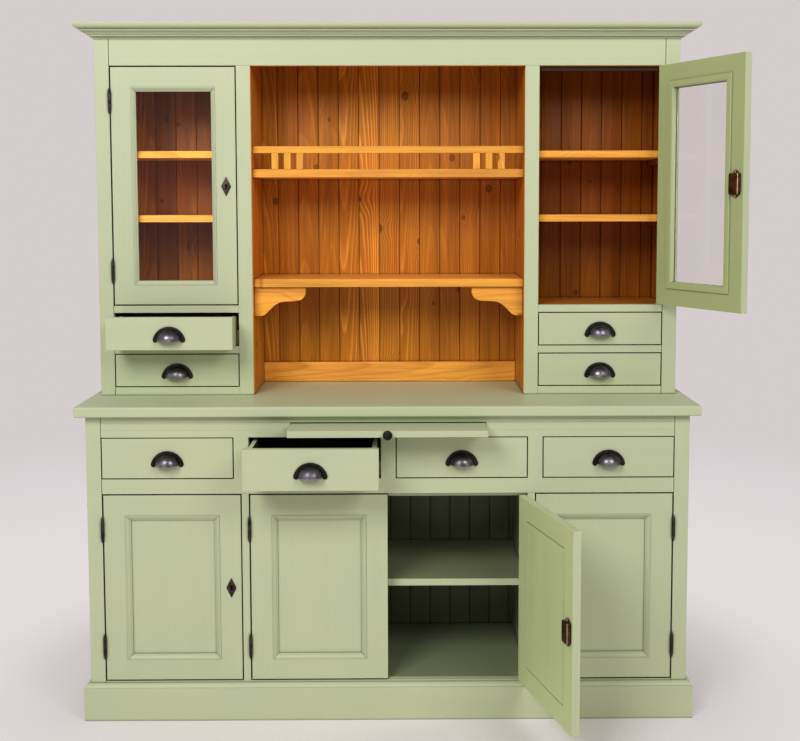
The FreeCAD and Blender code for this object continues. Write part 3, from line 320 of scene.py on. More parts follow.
def brushed_paint(name, colour):
    """Satin paint laid off with a brush along each board, a little uneven from place to place, and darkened
    by painted shade in its joints and corners.
    """
    finish, tree, shader = start_finish(name)
    grain, tone = board_grain(tree)
    place = in_place(tree)
    hairs = streaks(tree, grain, along=2.2, across=170, detail=4.0)
    strokes = streaks(tree, grain, along=1.1, across=22, detail=2.0)
    cloud = mottle(tree, place, scale=3.1, detail=3.0)
    fleck = mottle(tree, place, scale=420.0, detail=2.0)
    value = weighed(tree, 0.895, (hairs, 0.05), (strokes, 0.07), (cloud, 0.09), (tone, 0.016))
    # Painted shade: darker in joints, gaps and corners.
    value = sums(tree, "MULTIPLY", value, joint_shade(tree, darkest=0.05))
    warm = (1.03, 1.0, 0.93, 1)
    tint = mixed(tree, cloud, dimmed(tree, colour, value), warm, blend_type="MULTIPLY")
    tree.links.new(tint, shader.inputs["Base Color"])
    tree.links.new(between(tree, strokes, 0.3, 0.7, 0.40, 0.52), shader.inputs["Roughness"])
    roughen(tree, shader, weighed(tree, hairs, (fleck, 0.35)), strength=0.16, distance=0.0006)
    shader.inputs["Specular IOR Level"].default_value = 0.42
    return finish


def sawn_pine(name, light, dark, knot, sheen, shades=0.15, knots=0.55):
    """Pine with growth rings that run out along the board, fine fibres and knots with a dark rim, darkened
    by painted shade in its joints and corners. light is the colour between the rings, dark is theirs, and
    knots is the share of branches sawn through."""
    finish, tree, shader = start_finish(name)
    grain, tone = board_grain(tree)
    branches = {"Vector": times(tree, grain, (4.2, 5.2, 0.0)), "Scale": 1.0}
    branch = add(tree, "ShaderNodeTexVoronoi", branches, voronoi_dimensions="2D")
    chance = add(tree, "ShaderNodeSeparateColor", {"Color": branch.outputs["Color"]})
    cut = sums(tree, "LESS_THAN", chance.outputs[0], knots)
    smaller = between(tree, chance.outputs[1], 0.0, 1.0, 0.75, 1.9)
    from_heart = sums(tree, "MULTIPLY", branch.outputs["Distance"], smaller)
    heart = between(tree, from_heart, 0.010, 0.034, 0.46, 0.80)
    rim = between(tree, from_heart, 0.032, 0.060, 1.0, 0.0)
    core = sums(tree, "MULTIPLY", sums(tree, "MULTIPLY", heart, rim), cut)
    swell = between(tree, branch.outputs["Distance"], 0.0, 0.32, 0.02, 0.0, interpolation_type="SMOOTHSTEP")
    swell = sums(tree, "MULTIPLY", swell, cut)
    wander = streaks(tree, grain, along=1.9, across=8.0, detail=2.0)
    parts = add(tree, "ShaderNodeSeparateXYZ", {0: grain})
    across = sums(tree, "ADD", weighed(tree, parts.outputs[1], (wander, 0.022)), swell)
    through = weighed(tree, parts.outputs[2], (parts.outputs[0], 0.032))
    rings_at = add(tree, "ShaderNodeCombineXYZ", {0: parts.outputs[0], 1: across, 2: through}).outputs[0]
    rings = add(tree, "ShaderNodeTexWave", {"Vector": rings_at, "Scale": 46.0, "Distortion": 0.0},
                wave_type="RINGS", rings_direction="X", wave_profile="SAW").outputs["Fac"]
    ring = add(tree, "ShaderNodeValToRGB", {"Fac": rings})
    early_wood, late_wood = ring.color_ramp.elements
    early_wood.color, early_wood.position = (0, 0, 0, 1), 0.50
    late_wood.color, late_wood.position = (1, 1, 1, 1), 0.90
    ring.color_ramp.elements.new(1.0).color = (0, 0, 0, 1)
    late = ring.outputs["Color"]
    fibre = streaks(tree, grain, along=9.0, across=620.0, detail=3.0)
    ray = streaks(tree, grain, along=4.0, across=150.0, detail=2.0)
    streak = streaks(tree, grain, along=0.9, across=30.0, detail=2.0)
    figure = between(tree, tone, -0.4, 0.8, 0.35, 1.7)
    depth = sums(tree, "MULTIPLY", late, sums(tree, "MULTIPLY", streak, figure))
    wood = mixed(tree, depth, (*light, 1), (*dark, 1))
    value = weighed(tree, 0.10, (tone, shades), (fibre, 0.40), (streak, 0.80), (ray, 0.60))
    # Painted shade: darker in joints, gaps and corners.
    value = sums(tree, "MULTIPLY", value, joint_shade(tree, darkest=0.15))
    patch = between(tree, streaks(tree, grain, along=2.4, across=13.0, detail=3.0), 0.32, 0.68)
    red_patch, yellow_patch = (0.93, 0.87, 0.86, 1), (1.10, 1.15, 0.90, 1)
    wood = times(tree, wood, mixed(tree, patch, red_patch, yellow_patch))
    wood = mixed(tree, core, dimmed(tree, wood, value), (*knot, 1))
    tree.links.new(wood, shader.inputs["Base Color"])
    tree.links.new(between(tree, fibre, 0.0, 1.0, sheen - 0.06, sheen + 0.10), shader.inputs["Roughness"])
    roughen(tree, shader, weighed(tree, fibre, (late, 0.5)), strength=0.12, distance=0.0007)
    shader.inputs["Specular IOR Level"].default_value = 0.14
    return finish


sage_paint = brushed_paint("sage_paint", (0.512, 0.566, 0.366))
bare_pine = sawn_pine("bare_pine", (0.66, 0.47, 0.26), (0.47, 0.28, 0.12), (0.16, 0.08, 0.03), sheen=0.58)

dress("plinth", [sage_paint])
dress("plinth_bearers", [bare_pine])

# The base carcass: pine boards nailed and housed into a box with two partitions, a shelf in each bay
# on cleats, and a boarded back. Inside and outside are painted; only the back's rear face is left bare.
# The inside's green is the outer sage darkened as painted shade, darker still on the back's front face.
inside_shade_paint = brushed_paint("sage_paint_inside", (0.235, 0.268, 0.160))
back_shade_paint = brushed_paint("sage_paint_deep_inside", (0.140, 0.162, 0.088))
skin = 0.006
within_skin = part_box("base_sides")[1].x - skin
back_boards, v_joint, back_arris = 26, 0.0024, 0.0003


def start_piece(name, primitive, **sizes):
    """Add a primitive with nothing else selected, and open it in edit mode."""
    bpy.ops.object.select_all(action="DESELECT")
    primitive(**sizes)
    piece = bpy.context.object
    piece.name = piece.data.name = name
    bpy.ops.object.transform_apply(location=True, rotation=True, scale=True)
    bpy.ops.object.mode_set(mode="EDIT")
    bpy.ops.mesh.select_all(action="SELECT")
    return piece


def bevel_edges(test, width, segments):
    """In edit mode, bevel the edges whose two ends pass the test."""
    bpy.ops.mesh.select_mode(type="EDGE")
    bpy.ops.mesh.select_all(action="DESELECT")
    mesh = bpy.context.edit_object.data
    for edge in bmesh.from_edit_mesh(mesh).edges:
        edge.select_set(test(edge.verts[0].co, edge.verts[1].co))
    bmesh.update_edit_mesh(mesh)
    bpy.ops.mesh.bevel(offset=width, segments=segments)
    bpy.ops.mesh.select_mode(type="VERT")


def close_piece(piece, rounding=0.0, segments=2, angle=30):
    """Leave edit mode with the normals outward, round the arrises and smooth the curves."""
    bpy.ops.mesh.select_all(action="SELECT")
    bpy.ops.mesh.remove_doubles(threshold=1e-6)
    bpy.ops.mesh.normals_make_consistent(inside=False)
    bpy.ops.object.mode_set(mode="OBJECT")
    if rounding:
        edge = piece.modifiers.new("rounding", "BEVEL")
        edge.width = rounding
        edge.segments = segments
        edge.angle_limit = math.radians(angle)
        bpy.ops.object.modifier_apply(modifier=edge.name)
    bpy.ops.object.shade_smooth_by_angle(angle=math.radians(40))


def join_pieces(name, pieces):
    """Join pieces into the first of them."""
    bpy.ops.object.select_all(action="DESELECT")
    for piece in pieces:
        piece.select_set(True)
    bpy.context.view_layer.objects.active = pieces[0]
    if len(pieces) > 1:
        bpy.ops.object.join()
    joined = bpy.context.object
    joined.name = joined.data.name = name
    return joined


def another(pattern, name, move):
    """A copy of a modelled piece with its own mesh, moved by a matrix."""
    mesh = pattern.data.copy()
    mesh.transform(move)
    if move.determinant() < 0:
        mesh.flip_normals()
    copy = bpy.data.objects.new(name, mesh)
    studio.objects.link(copy)
    return copy


def inside_of_base(low, high, middle, normal):
    """Front edges and the outsides have the full sage; the rest of the inside is darkened as painted shade.
    """
    return int(normal.y > -0.5 and abs(middle.x) < within_skin and normal.x * middle.x < 0.5)


dress("base_sides", [sage_paint, inside_shade_paint], choose=inside_of_base)
dress("base_floor", [sage_paint, inside_shade_paint], choose=inside_of_base)
# The partitions stand inside, and all but their front edges take the painted shade.
dress("base_partitions", [sage_paint, inside_shade_paint],
      choose=lambda low, high, middle, normal: int(normal.y > -0.5))
dress("base_shelves", [sage_paint, inside_shade_paint], choose=inside_of_base)

low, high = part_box("base_back")
middle = (low + high) / 2
board_width = (high.x - low.x) / back_boards
back_board = start_piece("base_back_board", bpy.ops.mesh.primitive_cube_add, size=1.0,
                         location=(low.x + board_width / 2, middle.y, middle.z),
                         scale=(board_width, high.y - low.y, high.z - low.z))
bevel_edges(lambda one, other: one.y < middle.y and abs(one.z - other.z) > board_width, v_joint, segments=1)
close_piece(back_board, back_arris)
boards = [another(back_board, f"base_back_board_{number}", Matrix.Translation((number * board_width, 0, 0)))
          for number in range(back_boards)]
bpy.data.objects.remove(back_board)
base_back = join_pieces("base_back_boarding", boards)
# The back boards' fronts take the deepest painted shade; their rear faces are bare pine.
for finish in (back_shade_paint, bare_pine):
    base_back.data.materials.append(finish)
lay_grain(base_back, Matrix(), lambda low, high, middle, normal: int(normal.y > 0.5))
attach(base_back, "carcass")
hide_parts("base_back")

# The base's face frame: stiles, rails and muntins tenoned together and glued to the carcass's front
# edges, with the slot for the writing slide left in the top rail. Behind it are the bare pine boards
# that the drawers and the slide run on.
post_edge, post_gap = 0.876, 0.0011
close_by = 0.0005


def ease_from_posts(places, boards):
    """Rails and head stop just short of the corner posts, where the paint has cracked along the joint."""
    for verts in boards:
        low, high = board_box(places, verts)
        for vert in verts:
            for end, way in ((low, 1), (high, -1)):
                at_post = abs(abs(end.x) - post_edge) < close_by and end.x * way < 0
                if at_post and abs(places[vert].x - end.x) < close_by:
                    places[vert].x += way * post_gap


dress("base_face_frame", [sage_paint], fit=ease_from_posts)
dress("base_dust_board", [bare_pine])
dress("base_drawer_guides", [bare_pine])
dress("slide_runners", [bare_pine])

# The worktop: one board glued up from pine, its edge rounded over. It is screwed down on the base and
# painted with it, and the hutch stands on its rear part.
dress("worktop", [sage_paint], arris=0.0004)

# The hutch carcass: painted pine sides and amber-stained boards within, the back of narrow upright
# boards with a V joint between them. Stain and wax go on before the green, which stops at the arrises.
amber_pine = sawn_pine("amber_pine", (0.86, 0.375, 0.064), (0.68, 0.260, 0.040), (0.20, 0.062, 0.014),
                       sheen=0.40, shades=0.05)
# Back, walls, top and cupboard floors: darker than amber_pine, partly the boards' own deeper stain and partly
# painted shade for the depth of the bay.
amber_boards = sawn_pine("amber_boards", (0.478, 0.160, 0.017), (0.82, 0.352, 0.058), (0.08, 0.022, 0.006),
                         sheen=0.40, knots=0.95)
# The same boards darkened again as painted shade, for the inside of the cupboards and the cleats there.
cupboard_shade_boards = sawn_pine("deep_amber_boards", (0.29, 0.080, 0.006), (0.47, 0.152, 0.014),
                        (0.05, 0.014, 0.004), sheen=0.40)
# Near-black pine as painted shade, where shade falls deep: inside the drawers and on the hutch's door stops.
deep_shade_pine = sawn_pine("dark_stained_pine", (0.060, 0.042, 0.028), (0.034, 0.022, 0.014),
                       (0.012, 0.008, 0.005), sheen=0.6)
bay_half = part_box("bay_walls")[1].x
base_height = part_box("worktop")[1].z
back_joint = 0.0002

# The sides' inner faces look into the cupboards and take their painted shade.
dress("hutch_sides", [sage_paint, cupboard_shade_boards],
      choose=lambda low, high, middle, normal: int(normal.x * middle.x < -0.3))
# The hutch's door stops, deep in the cupboards, are near black as painted shade.
dress("door_stops", [sage_paint, deep_shade_pine],
      choose=lambda low, high, middle, normal: int(middle.z > base_height))
# The walls' faces toward the cupboards take the cupboards' painted shade.
dress("bay_walls", [amber_boards, cupboard_shade_boards],
      choose=lambda low, high, middle, normal: int(normal.x * middle.x > 0.3))
dress("hutch_top", [amber_boards, bare_pine],
      choose=lambda low, high, middle, normal: int(normal.z > 0.5))
dress("hutch_drawer_boards", [bare_pine])
dress("cupboard_floors", [amber_boards])


def close_up(places, boards):
    """Set each board against the next, with only the V of their edges between them."""
    for verts in boards:
        low, high = board_box(places, verts)
        for vert in verts:
            places[vert].x += back_joint / 2 * (1 if places[vert].x > (low.x + high.x) / 2 else -1)


def hutch_back_finish(low, high, middle, normal):
    """Bare behind; in the cupboards the front faces take painted shade, darker than in the bay."""
    return 1 if normal.y > 0.5 else 2 * int(abs(middle.x) > bay_half)


dress("hutch_back", [amber_boards, bare_pine, cupboard_shade_boards], fit=close_up,
      open_joints=True, choose=hutch_back_finish)

# The hutch's face frame: painted stiles, head and short rails tenoned together. Its inner faces and
# the edges that look into the open bay carry the amber stain of the boards behind.
bay_edge = 0.434


def frame_finish(low, high, middle, normal):
    within = normal.y > 0.5
    at_bay = abs(middle.x) < bay_edge and (normal.x * middle.x < -0.3 or normal.z < -0.5)
    return int(within or at_bay)


dress("hutch_face_frame", [sage_paint, amber_pine], choose=frame_finish, fit=ease_from_posts)

# The shelves: stained pine boards let in between the walls, those of the cupboards on cleats. The open
# bay has a rail along the foot of its back, a low gallery on its upper shelf and two sawn brackets.
cleat_widest = 0.1
worn_arris = 0.0015
# The cleats under the cupboard shelves take the cupboards' painted shade.
dress("cupboard_shelves", [amber_pine, cupboard_shade_boards],
      choose=lambda low, high, middle, normal: int(high.x - low.x < cleat_widest))
for node in ("bay_shelves", "bay_back_rail", "plate_gallery", "shelf_brackets"):
    dress(node, [amber_pine], arris=worn_arris)

# The cornice: a moulding of band, ovolo, cove and bead, run on pine, mitred at the front corners,
# nailed round the head of the hutch and painted with it.
dress("cornice", [sage_paint], arris=0.0005)

# The base doors: pine stiles and rails with stub tenons round a flat panel, an ovolo moulding planted
# on the face. Both sides are painted. The third door stands open on its hinges.
base_doors = [f"base_door_{number}" for number in (1, 2, 3, 4)]
joint_of = {joint["child"]: joint for joint in frame["joints"]}
# The doors' insides are a greener paint than the outer sage; on the base doors it is made lighter as painted
# light.
lit_door_inside = brushed_paint("sage_paint_door_inside", (0.555, 0.640, 0.330))
door_gap, panel_gap = 0.0020, 0.0014
moulding_proud, flush = 0.0012, 0.001


def shut(door):
    """The move that swings a door from where it stands back to its frame."""
    joint = joint_of[door]
    hinge = Vector((*joint["pos_m"][:2], 0))
    swing = math.radians(joint["range_deg"][0] * joint["axis"][2])
    return Matrix.Translation(hinge) @ Matrix.Rotation(swing, 4, "Z") @ Matrix.Translation(-hinge)


def plane_edges(places, verts, amount):
    """Take the same amount off the ends and the sides of a board, or of a whole door."""
    low, high = board_box(places, verts)
    for vert in verts:
        for axis in (0, 2):
            middle = (low[axis] + high[axis]) / 2
            places[vert][axis] += (middle - places[vert][axis]) * 2 * amount / (high[axis] - low[axis])


def door_finish(low, high, middle, normal):
    """The inside of a door has a greener paint than the outer sage, lighter on the base doors as painted
    light and darker on the glazed doors as painted shade.
    """
    return int(normal.y > 0.3)


def fit_door(places, boards):
    """Plane a door to leave a clear gap round it, and its panel to leave a fine one. The moulding planted
    on its face stands a little proud. Gives the heights where its rails end."""
    face = min(place.y for place in places)
    ends = set()
    plane_edges(places, range(len(places)), door_gap)
    for verts in boards:
        low, high = board_box(places, verts)
        thickness, width, length = sorted(high - low)
        if thickness < panel_thickest and width > panel_narrowest:
            plane_edges(places, verts, panel_gap)
        if low.y < face + flush and width < slip_widest:
            ends.update((low.z, high.z))
            for vert in verts:
                places[vert].y -= moulding_proud
    return min(ends), max(ends)


for door in base_doors:
    dress(door, [sage_paint, lit_door_inside], door, fit=fit_door, choose=door_finish,
          closed=shut(door))

# The glazed doors: frames like those below, with a sheet of clear glass between an ovolo moulding on
# the face and beads inside, which lap over the frame. The right-hand one stands open.
glazed_doors = [f"glazed_door_{side}" for side in ("left", "right")]
# The glazed doors' inside green is made darker as painted shade.
shaded_glazed_inside = brushed_paint("sage_paint_glazed_inside", (0.412, 0.478, 0.222))
stile_slimmer, bead_slimmer = 0.004, 0.006
bead_lap, bead_proud = 0.0095, 0.0035
clear_glass, tree, shader = start_finish("clear_glass")
roughen(tree, shader, mottle(tree, in_place(tree), scale=7.0, detail=1.0), strength=0.05, distance=0.002)
shader.inputs["Base Color"].default_value = (0.91, 0.905, 0.875, 1)
shader.inputs["Roughness"].default_value = 0.01
shader.inputs["IOR"].default_value = 1.24
shader.inputs["Transmission Weight"].default_value = 1.0


def fit_glazed_door(places, boards):
    """Slim the stiles. The beads behind the glass are slimmed so that none shows past the moulding in
    front, and lap over the frame, where they stand proud of its inner face."""
    heights = fit_door(places, boards)
    boxes = [board_box(places, verts) for verts in boards]
    slips = [box for box in boxes if sorted(box[1] - box[0])[1] < slip_widest]
    left = min(low.x for low, high in slips)
    right = max(high.x for low, high in slips)
    middle, half = (left + right) / 2, (right - left) / 2
    behind = max(high.y for low, high in slips)
    for place in places:
        if abs(place.x - middle) < half + close_by:
            place.x += (place.x - middle) * stile_slimmer / half
    edges = ((0, left - stile_slimmer, 1), (0, right + stile_slimmer, -1),
             (2, heights[0], 1), (2, heights[1], -1))
    for verts, box in zip(boards, boxes):
        if box not in slips or box[1].y < behind - flush:
            continue
        for vert in verts:
            place = places[vert]
            place.y += bead_proud if place.y > (box[0].y + box[1].y) / 2 else 0
            for axis, edge, way in edges:
                within = (place[axis] - edge) * way
                if within < close_by:
                    place[axis] -= way * bead_lap
                elif within < slip_widest:
                    place[axis] -= way * bead_slimmer
    return heights


for door in glazed_doors:
    dress(door, [sage_paint, shaded_glazed_inside], door, fit=fit_glazed_door, choose=door_finish,
          closed=shut(door))
    pane = frame["nodes"][f"{door}_glass"]
    pane.data.materials.clear()
    pane.data.materials.append(clear_glass)
    pane.visible_shadow = False

# The drawers: pine boxes behind a front board, painted outside and near black within as painted shade,
# the bottom let into grooves. One in the base and one in the hutch stand out of their openings.
drawers = [f"base_drawer_{number}" for number in (1, 2, 3, 4)]
drawers += [f"hutch_drawer_{side}_{level}" for side in ("left", "right") for level in ("upper", "lower")]
front_gap = 0.0016
side_thickest, bottom_thickest = 0.03, 0.02


def fit_front(places, boards):
    """Plane a drawer's front board to leave a clear gap round it."""
    front = min(boards, key=lambda verts: min(places[vert].y for vert in verts))
    plane_edges(places, front, front_gap)


for drawer in drawers:
    box_low, box_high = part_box(drawer)
    box_middle = (box_low + box_high) / 2

    def drawer_finish(low, high, middle, normal):
        """The inner faces of the sides, the back and the bottom are near black as painted shade."""
        if low.y < box_low.y + 2 * flush:
            return 0
        in_side = high.x - low.x < side_thickest and normal.x * (box_middle.x - middle.x) > flush / 2
        on_bottom = high.z - low.z < bottom_thickest and normal.z > 0.5
        return int(in_side or on_bottom or normal.y < -0.5)

    dress(drawer, [sage_paint, deep_shade_pine], drawer, choose=drawer_finish, fit=fit_front)

# The cup pulls: cast iron, blackened, each an arched flange with round ears and a hollow cup under
# which the fingers go. The cup's front is a brighter grey, most of all along its lip, partly from the rub of
# hands and partly as painted highlight on the faces turned to the front.
arch, band, ear_foot, ear_top = 0.051, 0.0150, 0.0024, 0.0110
flange_thickness, flange_arris = 0.003, 0.0011
ear_shape = ((0.97, 0.30), (0.86, 0.58), (0.68, 0.80), (0.44, 0.94), (0.2, 1.0))
cup_foot, cup_wide, cup_tall, cup_wall, cup_arris = 0.0105, 0.0370, 0.0325, 0.0024, 0.0008
lip_drop, lip_flare, lip_wear_and_highlight = 0.0016, 1.055, 1.5


def worn_metal(name, colour, rubbed_and_lit, roughness, handled=""):
    """Dark metal, a little brighter where rubbed at random, with a faint cast skin. handled names the
    attribute that says where it is brighter as wear and as painted highlight, if the piece has one."""
    finish, tree, shader = start_finish(name)
    place = in_place(tree)
    cloud = mottle(tree, place, scale=55.0, detail=4.0)
    rub_and_highlight = between(tree, cloud, 0.35, 0.72)
    if handled:
        wear_and_highlight = add(tree, "ShaderNodeAttribute", attribute_name=handled).outputs["Fac"]
        rub_and_highlight = sums(tree, "MULTIPLY", sums(tree, "ADD", rub_and_highlight, 0.25), wear_and_highlight)
    tree.links.new(mixed(tree, rub_and_highlight, (*colour, 1), (*rubbed_and_lit, 1)), shader.inputs["Base Color"])
    gloss = between(tree, cloud, 0.0, 1.0, roughness + 0.1, roughness - 0.1)
    tree.links.new(gloss, shader.inputs["Roughness"])
    roughen(tree, shader, mottle(tree, place, scale=900.0, detail=2.0), strength=0.25, distance=0.0002)
    shader.inputs["Metallic"].default_value = 0.9
    return finish


def select_verts(test):
    """In edit mode, select the vertices whose place passes the test, and what lies between them."""
    mesh = bmesh.from_edit_mesh(bpy.context.edit_object.data)
    for face in mesh.faces:
        face.select_set(False)
    for vert in mesh.verts:
        vert.select_set(test(vert.co))
    mesh.select_flush(True)
    bmesh.update_edit_mesh(bpy.context.edit_object.data)


def draw_out(start, shape, way, centre):
    """In edit mode, draw what is selected out one way, to each width and reach of a shape in turn."""
    width, reach = start
    for next_width, next_reach in shape:
        step = way * (next_reach - reach)
        bpy.ops.mesh.extrude_region_move(TRANSFORM_OT_translate={"value": step})
        grow = [1 if way[axis] else next_width / width for axis in range(3)]
        bpy.ops.transform.resize(value=grow, center_override=centre)
        width, reach = next_width, next_reach


black_iron = worn_metal("black_iron", (0.011, 0.010, 0.010), (0.030, 0.028, 0.027), roughness=0.46)
grey_iron = worn_metal("grey_iron", (0.018, 0.016, 0.020), (0.330, 0.308, 0.340), roughness=0.33,
                       handled="handled")

flange = start_piece("flange", bpy.ops.mesh.primitive_circle_add, vertices=96, radius=arch,
                     fill_type="NOTHING", rotation=(math.pi / 2, 0, 0))
bpy.ops.mesh.extrude_region_move()
inner = (arch - band) / arch
bpy.ops.transform.resize(value=(inner, 1, inner))
bpy.ops.mesh.select_all(action="SELECT")
bpy.ops.mesh.bisect(plane_co=(0, 0, ear_top), plane_no=(0, 0, 1), clear_inner=True)
ear_middle = (math.sqrt(arch ** 2 - ear_top ** 2) + math.sqrt((arch - band) ** 2 - ear_top ** 2)) / 2
for side in (1, -1):
    select_verts(lambda place: place.z < ear_top + same_point and place.x * side > 0)
    way = Vector((0, 0, ear_foot - ear_top))
    draw_out((1.0, 0.0), ear_shape, way, (side * ear_middle, 0, ear_top))
bpy.ops.mesh.select_all(action="SELECT")
bpy.ops.mesh.extrude_region_move(TRANSFORM_OT_translate={"value": (0, -flange_thickness, 0)})
close_piece(flange, flange_arris, segments=3)
flange.data.materials.append(black_iron)

cup = start_piece("cup", bpy.ops.mesh.primitive_uv_sphere_add, segments=64, ring_count=32, radius=1.0,
                  scale=(cup_wide, cup_wide, cup_tall))
bpy.ops.mesh.bisect(plane_co=(0, 0, 0), plane_no=(0, 0, 1), clear_inner=True)
select_verts(lambda place: place.z < same_point)
bpy.ops.mesh.extrude_region_move(TRANSFORM_OT_translate={"value": (0, 0, -lip_drop)})
bpy.ops.transform.resize(value=(lip_flare, lip_flare, 1), center_override=(0, 0, 0))
bpy.ops.mesh.select_all(action="SELECT")
bpy.ops.mesh.bisect(plane_co=(0, 0, 0), plane_no=(0, -1, 0), clear_inner=True)
bpy.ops.mesh.select_all(action="SELECT")
bpy.ops.transform.translate(value=(0, 0, cup_foot))
bpy.ops.mesh.normals_make_consistent(inside=False)
bpy.ops.object.mode_set(mode="OBJECT")
wall = cup.modifiers.new("wall", "SOLIDIFY")
wall.thickness = cup_wall
wall.offset = -1
bpy.ops.object.modifier_apply(modifier=wall.name)
bpy.ops.object.mode_set(mode="EDIT")
close_piece(cup, cup_arris, segments=3, angle=50)
cup.data.materials.append(grey_iron)
# Painted highlight and wear: brighter on faces turned to the front and lower down, brightest along the lip.
wear_and_highlight = cup.data.attributes.new("handled", "FLOAT", "POINT")
for vert in cup.data.vertices:
    height = max(0.0, (vert.co.z - cup_foot) / cup_tall)
    facing = max(0.0, -vert.normal.y)
    on_lip = vert.co.z < cup_foot - lip_drop / 4
    wear_and_highlight.data[vert.index].value = lip_wear_and_highlight if on_lip else facing ** 2 * (1 - height) ** 0.6

pull = join_pieces("cup_pull", [flange, cup])
for drawer in drawers:
    low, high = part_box(f"{drawer}_handle")
    seat = Matrix.Translation(((low.x + high.x) / 2, high.y, high.z - arch))
    handle = another(pull, f"{drawer}_cup_pull", seat)
    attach(handle, drawer)
    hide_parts(f"{drawer}_handle")
bpy.data.objects.remove(pull)

# The writing slide: a painted board that draws out through the top rail on bare runners, with a
# turned and blackened knob screwed to the middle of its edge.
neck_radius, neck_length = 0.0065, 0.008
knob_shape = ((0.0085, 0.0092), (0.0120, 0.0122), (0.0141, 0.0152), (0.0145, 0.0166), (0.0144, 0.0180),
              (0.0136, 0.0198), (0.0120, 0.0214), (0.0095, 0.0226), (0.0062, 0.0233), (0.0028, 0.0236))


def select_faces(test):
    """In edit mode, select the faces whose middle and normal pass the test."""
    mesh = bmesh.from_edit_mesh(bpy.context.edit_object.data)
    for vert in mesh.verts:
        vert.select = False
    for edge in mesh.edges:
        edge.select = False
    for face in mesh.faces:
        face.select_set(test(face.calc_center_median(), face.normal))
    bmesh.update_edit_mesh(bpy.context.edit_object.data)


dress("writing_slide", [sage_paint], "writing_slide")
low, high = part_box("slide_knob")
centre = Vector(((low.x + high.x) / 2, high.y, (low.z + high.z) / 2))
knob = start_piece("slide_knob_turned", bpy.ops.mesh.primitive_cylinder_add, vertices=48, radius=neck_radius,
                   depth=neck_length, location=centre - Vector((0, neck_length / 2, 0)),
                   rotation=(math.pi / 2, 0, 0))
select_faces(lambda place, normal: normal.y < -0.9)
draw_out((neck_radius, neck_length), knob_shape, Vector((0, -1, 0)), centre)
close_piece(knob)
knob.data.materials.append(black_iron)
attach(knob, "writing_slide")
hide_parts("slide_knob")

# The hinges: iron butts with a pin through the knuckles and a tapered finial at each end of the barrel.
# Their leaves lie flat on the frame's and the door's edges, in the gap between them.
barrel, finial, knuckle, knuckle_gap = 0.052, 0.0145, 0.005, 0.0004
finial_shape = ((0.0047, 0.0006), (0.0036, 0.0009), (0.0036, 0.0016), (0.0043, 0.0024), (0.0044, 0.0040),
                (0.0040, 0.0062), (0.0031, 0.0095), (0.0023, 0.0122), (0.0016, 0.0136), (0.0008, finial))
proud, leaf_gap, leaf_front, leaf_rear = 0.0053, 0.0024, 0.0045, 0.0195
leaf_arris, knuckle_arris = 0.0002, 0.0003
middle_length = barrel / 3 - knuckle_gap
end_length = barrel / 3 - knuckle_gap / 2
brown_iron = worn_metal("brown_iron", (0.022, 0.018, 0.015), (0.075, 0.060, 0.048), roughness=0.42)


def barrel_piece(name, length, middle):
    return start_piece(name, bpy.ops.mesh.primitive_cylinder_add, vertices=28, radius=knuckle, depth=length,
                       location=(0, 0, middle))


def flat_leaf(name, hand, packing=0.0):
    """A leaf's plate on one side of the axis, as deep as the edge that it is screwed to, with packing
    behind it where that edge was planed."""
    inner_face = hand * knuckle_gap / 2
    outer_face = hand * (leaf_gap / 2 + packing)
    plate = start_piece(name, bpy.ops.mesh.primitive_cube_add, size=1.0,
                        location=((inner_face + outer_face) / 2, proud + (leaf_rear - leaf_front) / 2, 0),
                        scale=(abs(outer_face - inner_face), leaf_front + leaf_rear, barrel))
    close_piece(plate, leaf_arris)
    return plate


ends = []
for way in (1, -1):
    end = barrel_piece("hinge_end", end_length, way * (barrel - end_length) / 2)
    select_faces(lambda place, normal: normal.z * way > 0.9)
    draw_out((knuckle, 0.0), finial_shape, Vector((0, 0, way)), (0, 0, 0))
    close_piece(end, knuckle_arris, angle=60)
    ends.append(end)
fixed_hinge = join_pieces("fixed_hinge", [*ends, flat_leaf("hinge_fixed_plate", -1)])
fixed_hinge.data.materials.append(brown_iron)
middle_knuckle = barrel_piece("hinge_middle", middle_length, 0)
close_piece(middle_knuckle, knuckle_arris, angle=60)
moving_hinge = join_pieces("moving_hinge", [middle_knuckle, flat_leaf("hinge_moving_plate", 1, door_gap)])
moving_hinge.data.materials.append(brown_iron)

# The locks and keyhole plates: a bronzed iron rim lock screwed inside each locking door's free edge,
# its case rounded over and held by a lug at each end, and a diamond plate over the keyhole in front.
bronze = worn_metal("bronzed_lock", (0.045, 0.018, 0.008), (0.150, 0.068, 0.030), roughness=0.34)
rubbed_brass = worn_metal("rubbed_brass", (0.40, 0.24, 0.12), (0.90, 0.66, 0.44), roughness=0.30)
dark_plate = worn_metal("keyhole_plate", (0.036, 0.026, 0.022), (0.090, 0.065, 0.053), roughness=0.46)
# The keyhole's eye and slit are thin near-black pieces on the plate: painted shade for the hole.
keyhole_dark, tree, shader = start_finish("keyhole_shadow")
hole_shade = mottle(tree, in_place(tree), scale=300.0, detail=2.0)
tree.links.new(dimmed(tree, (0.006, 0.005, 0.004), hole_shade), shader.inputs["Base Color"])
shader.inputs["Roughness"].default_value = 0.9
shader.inputs["Specular IOR Level"].default_value = 0.0

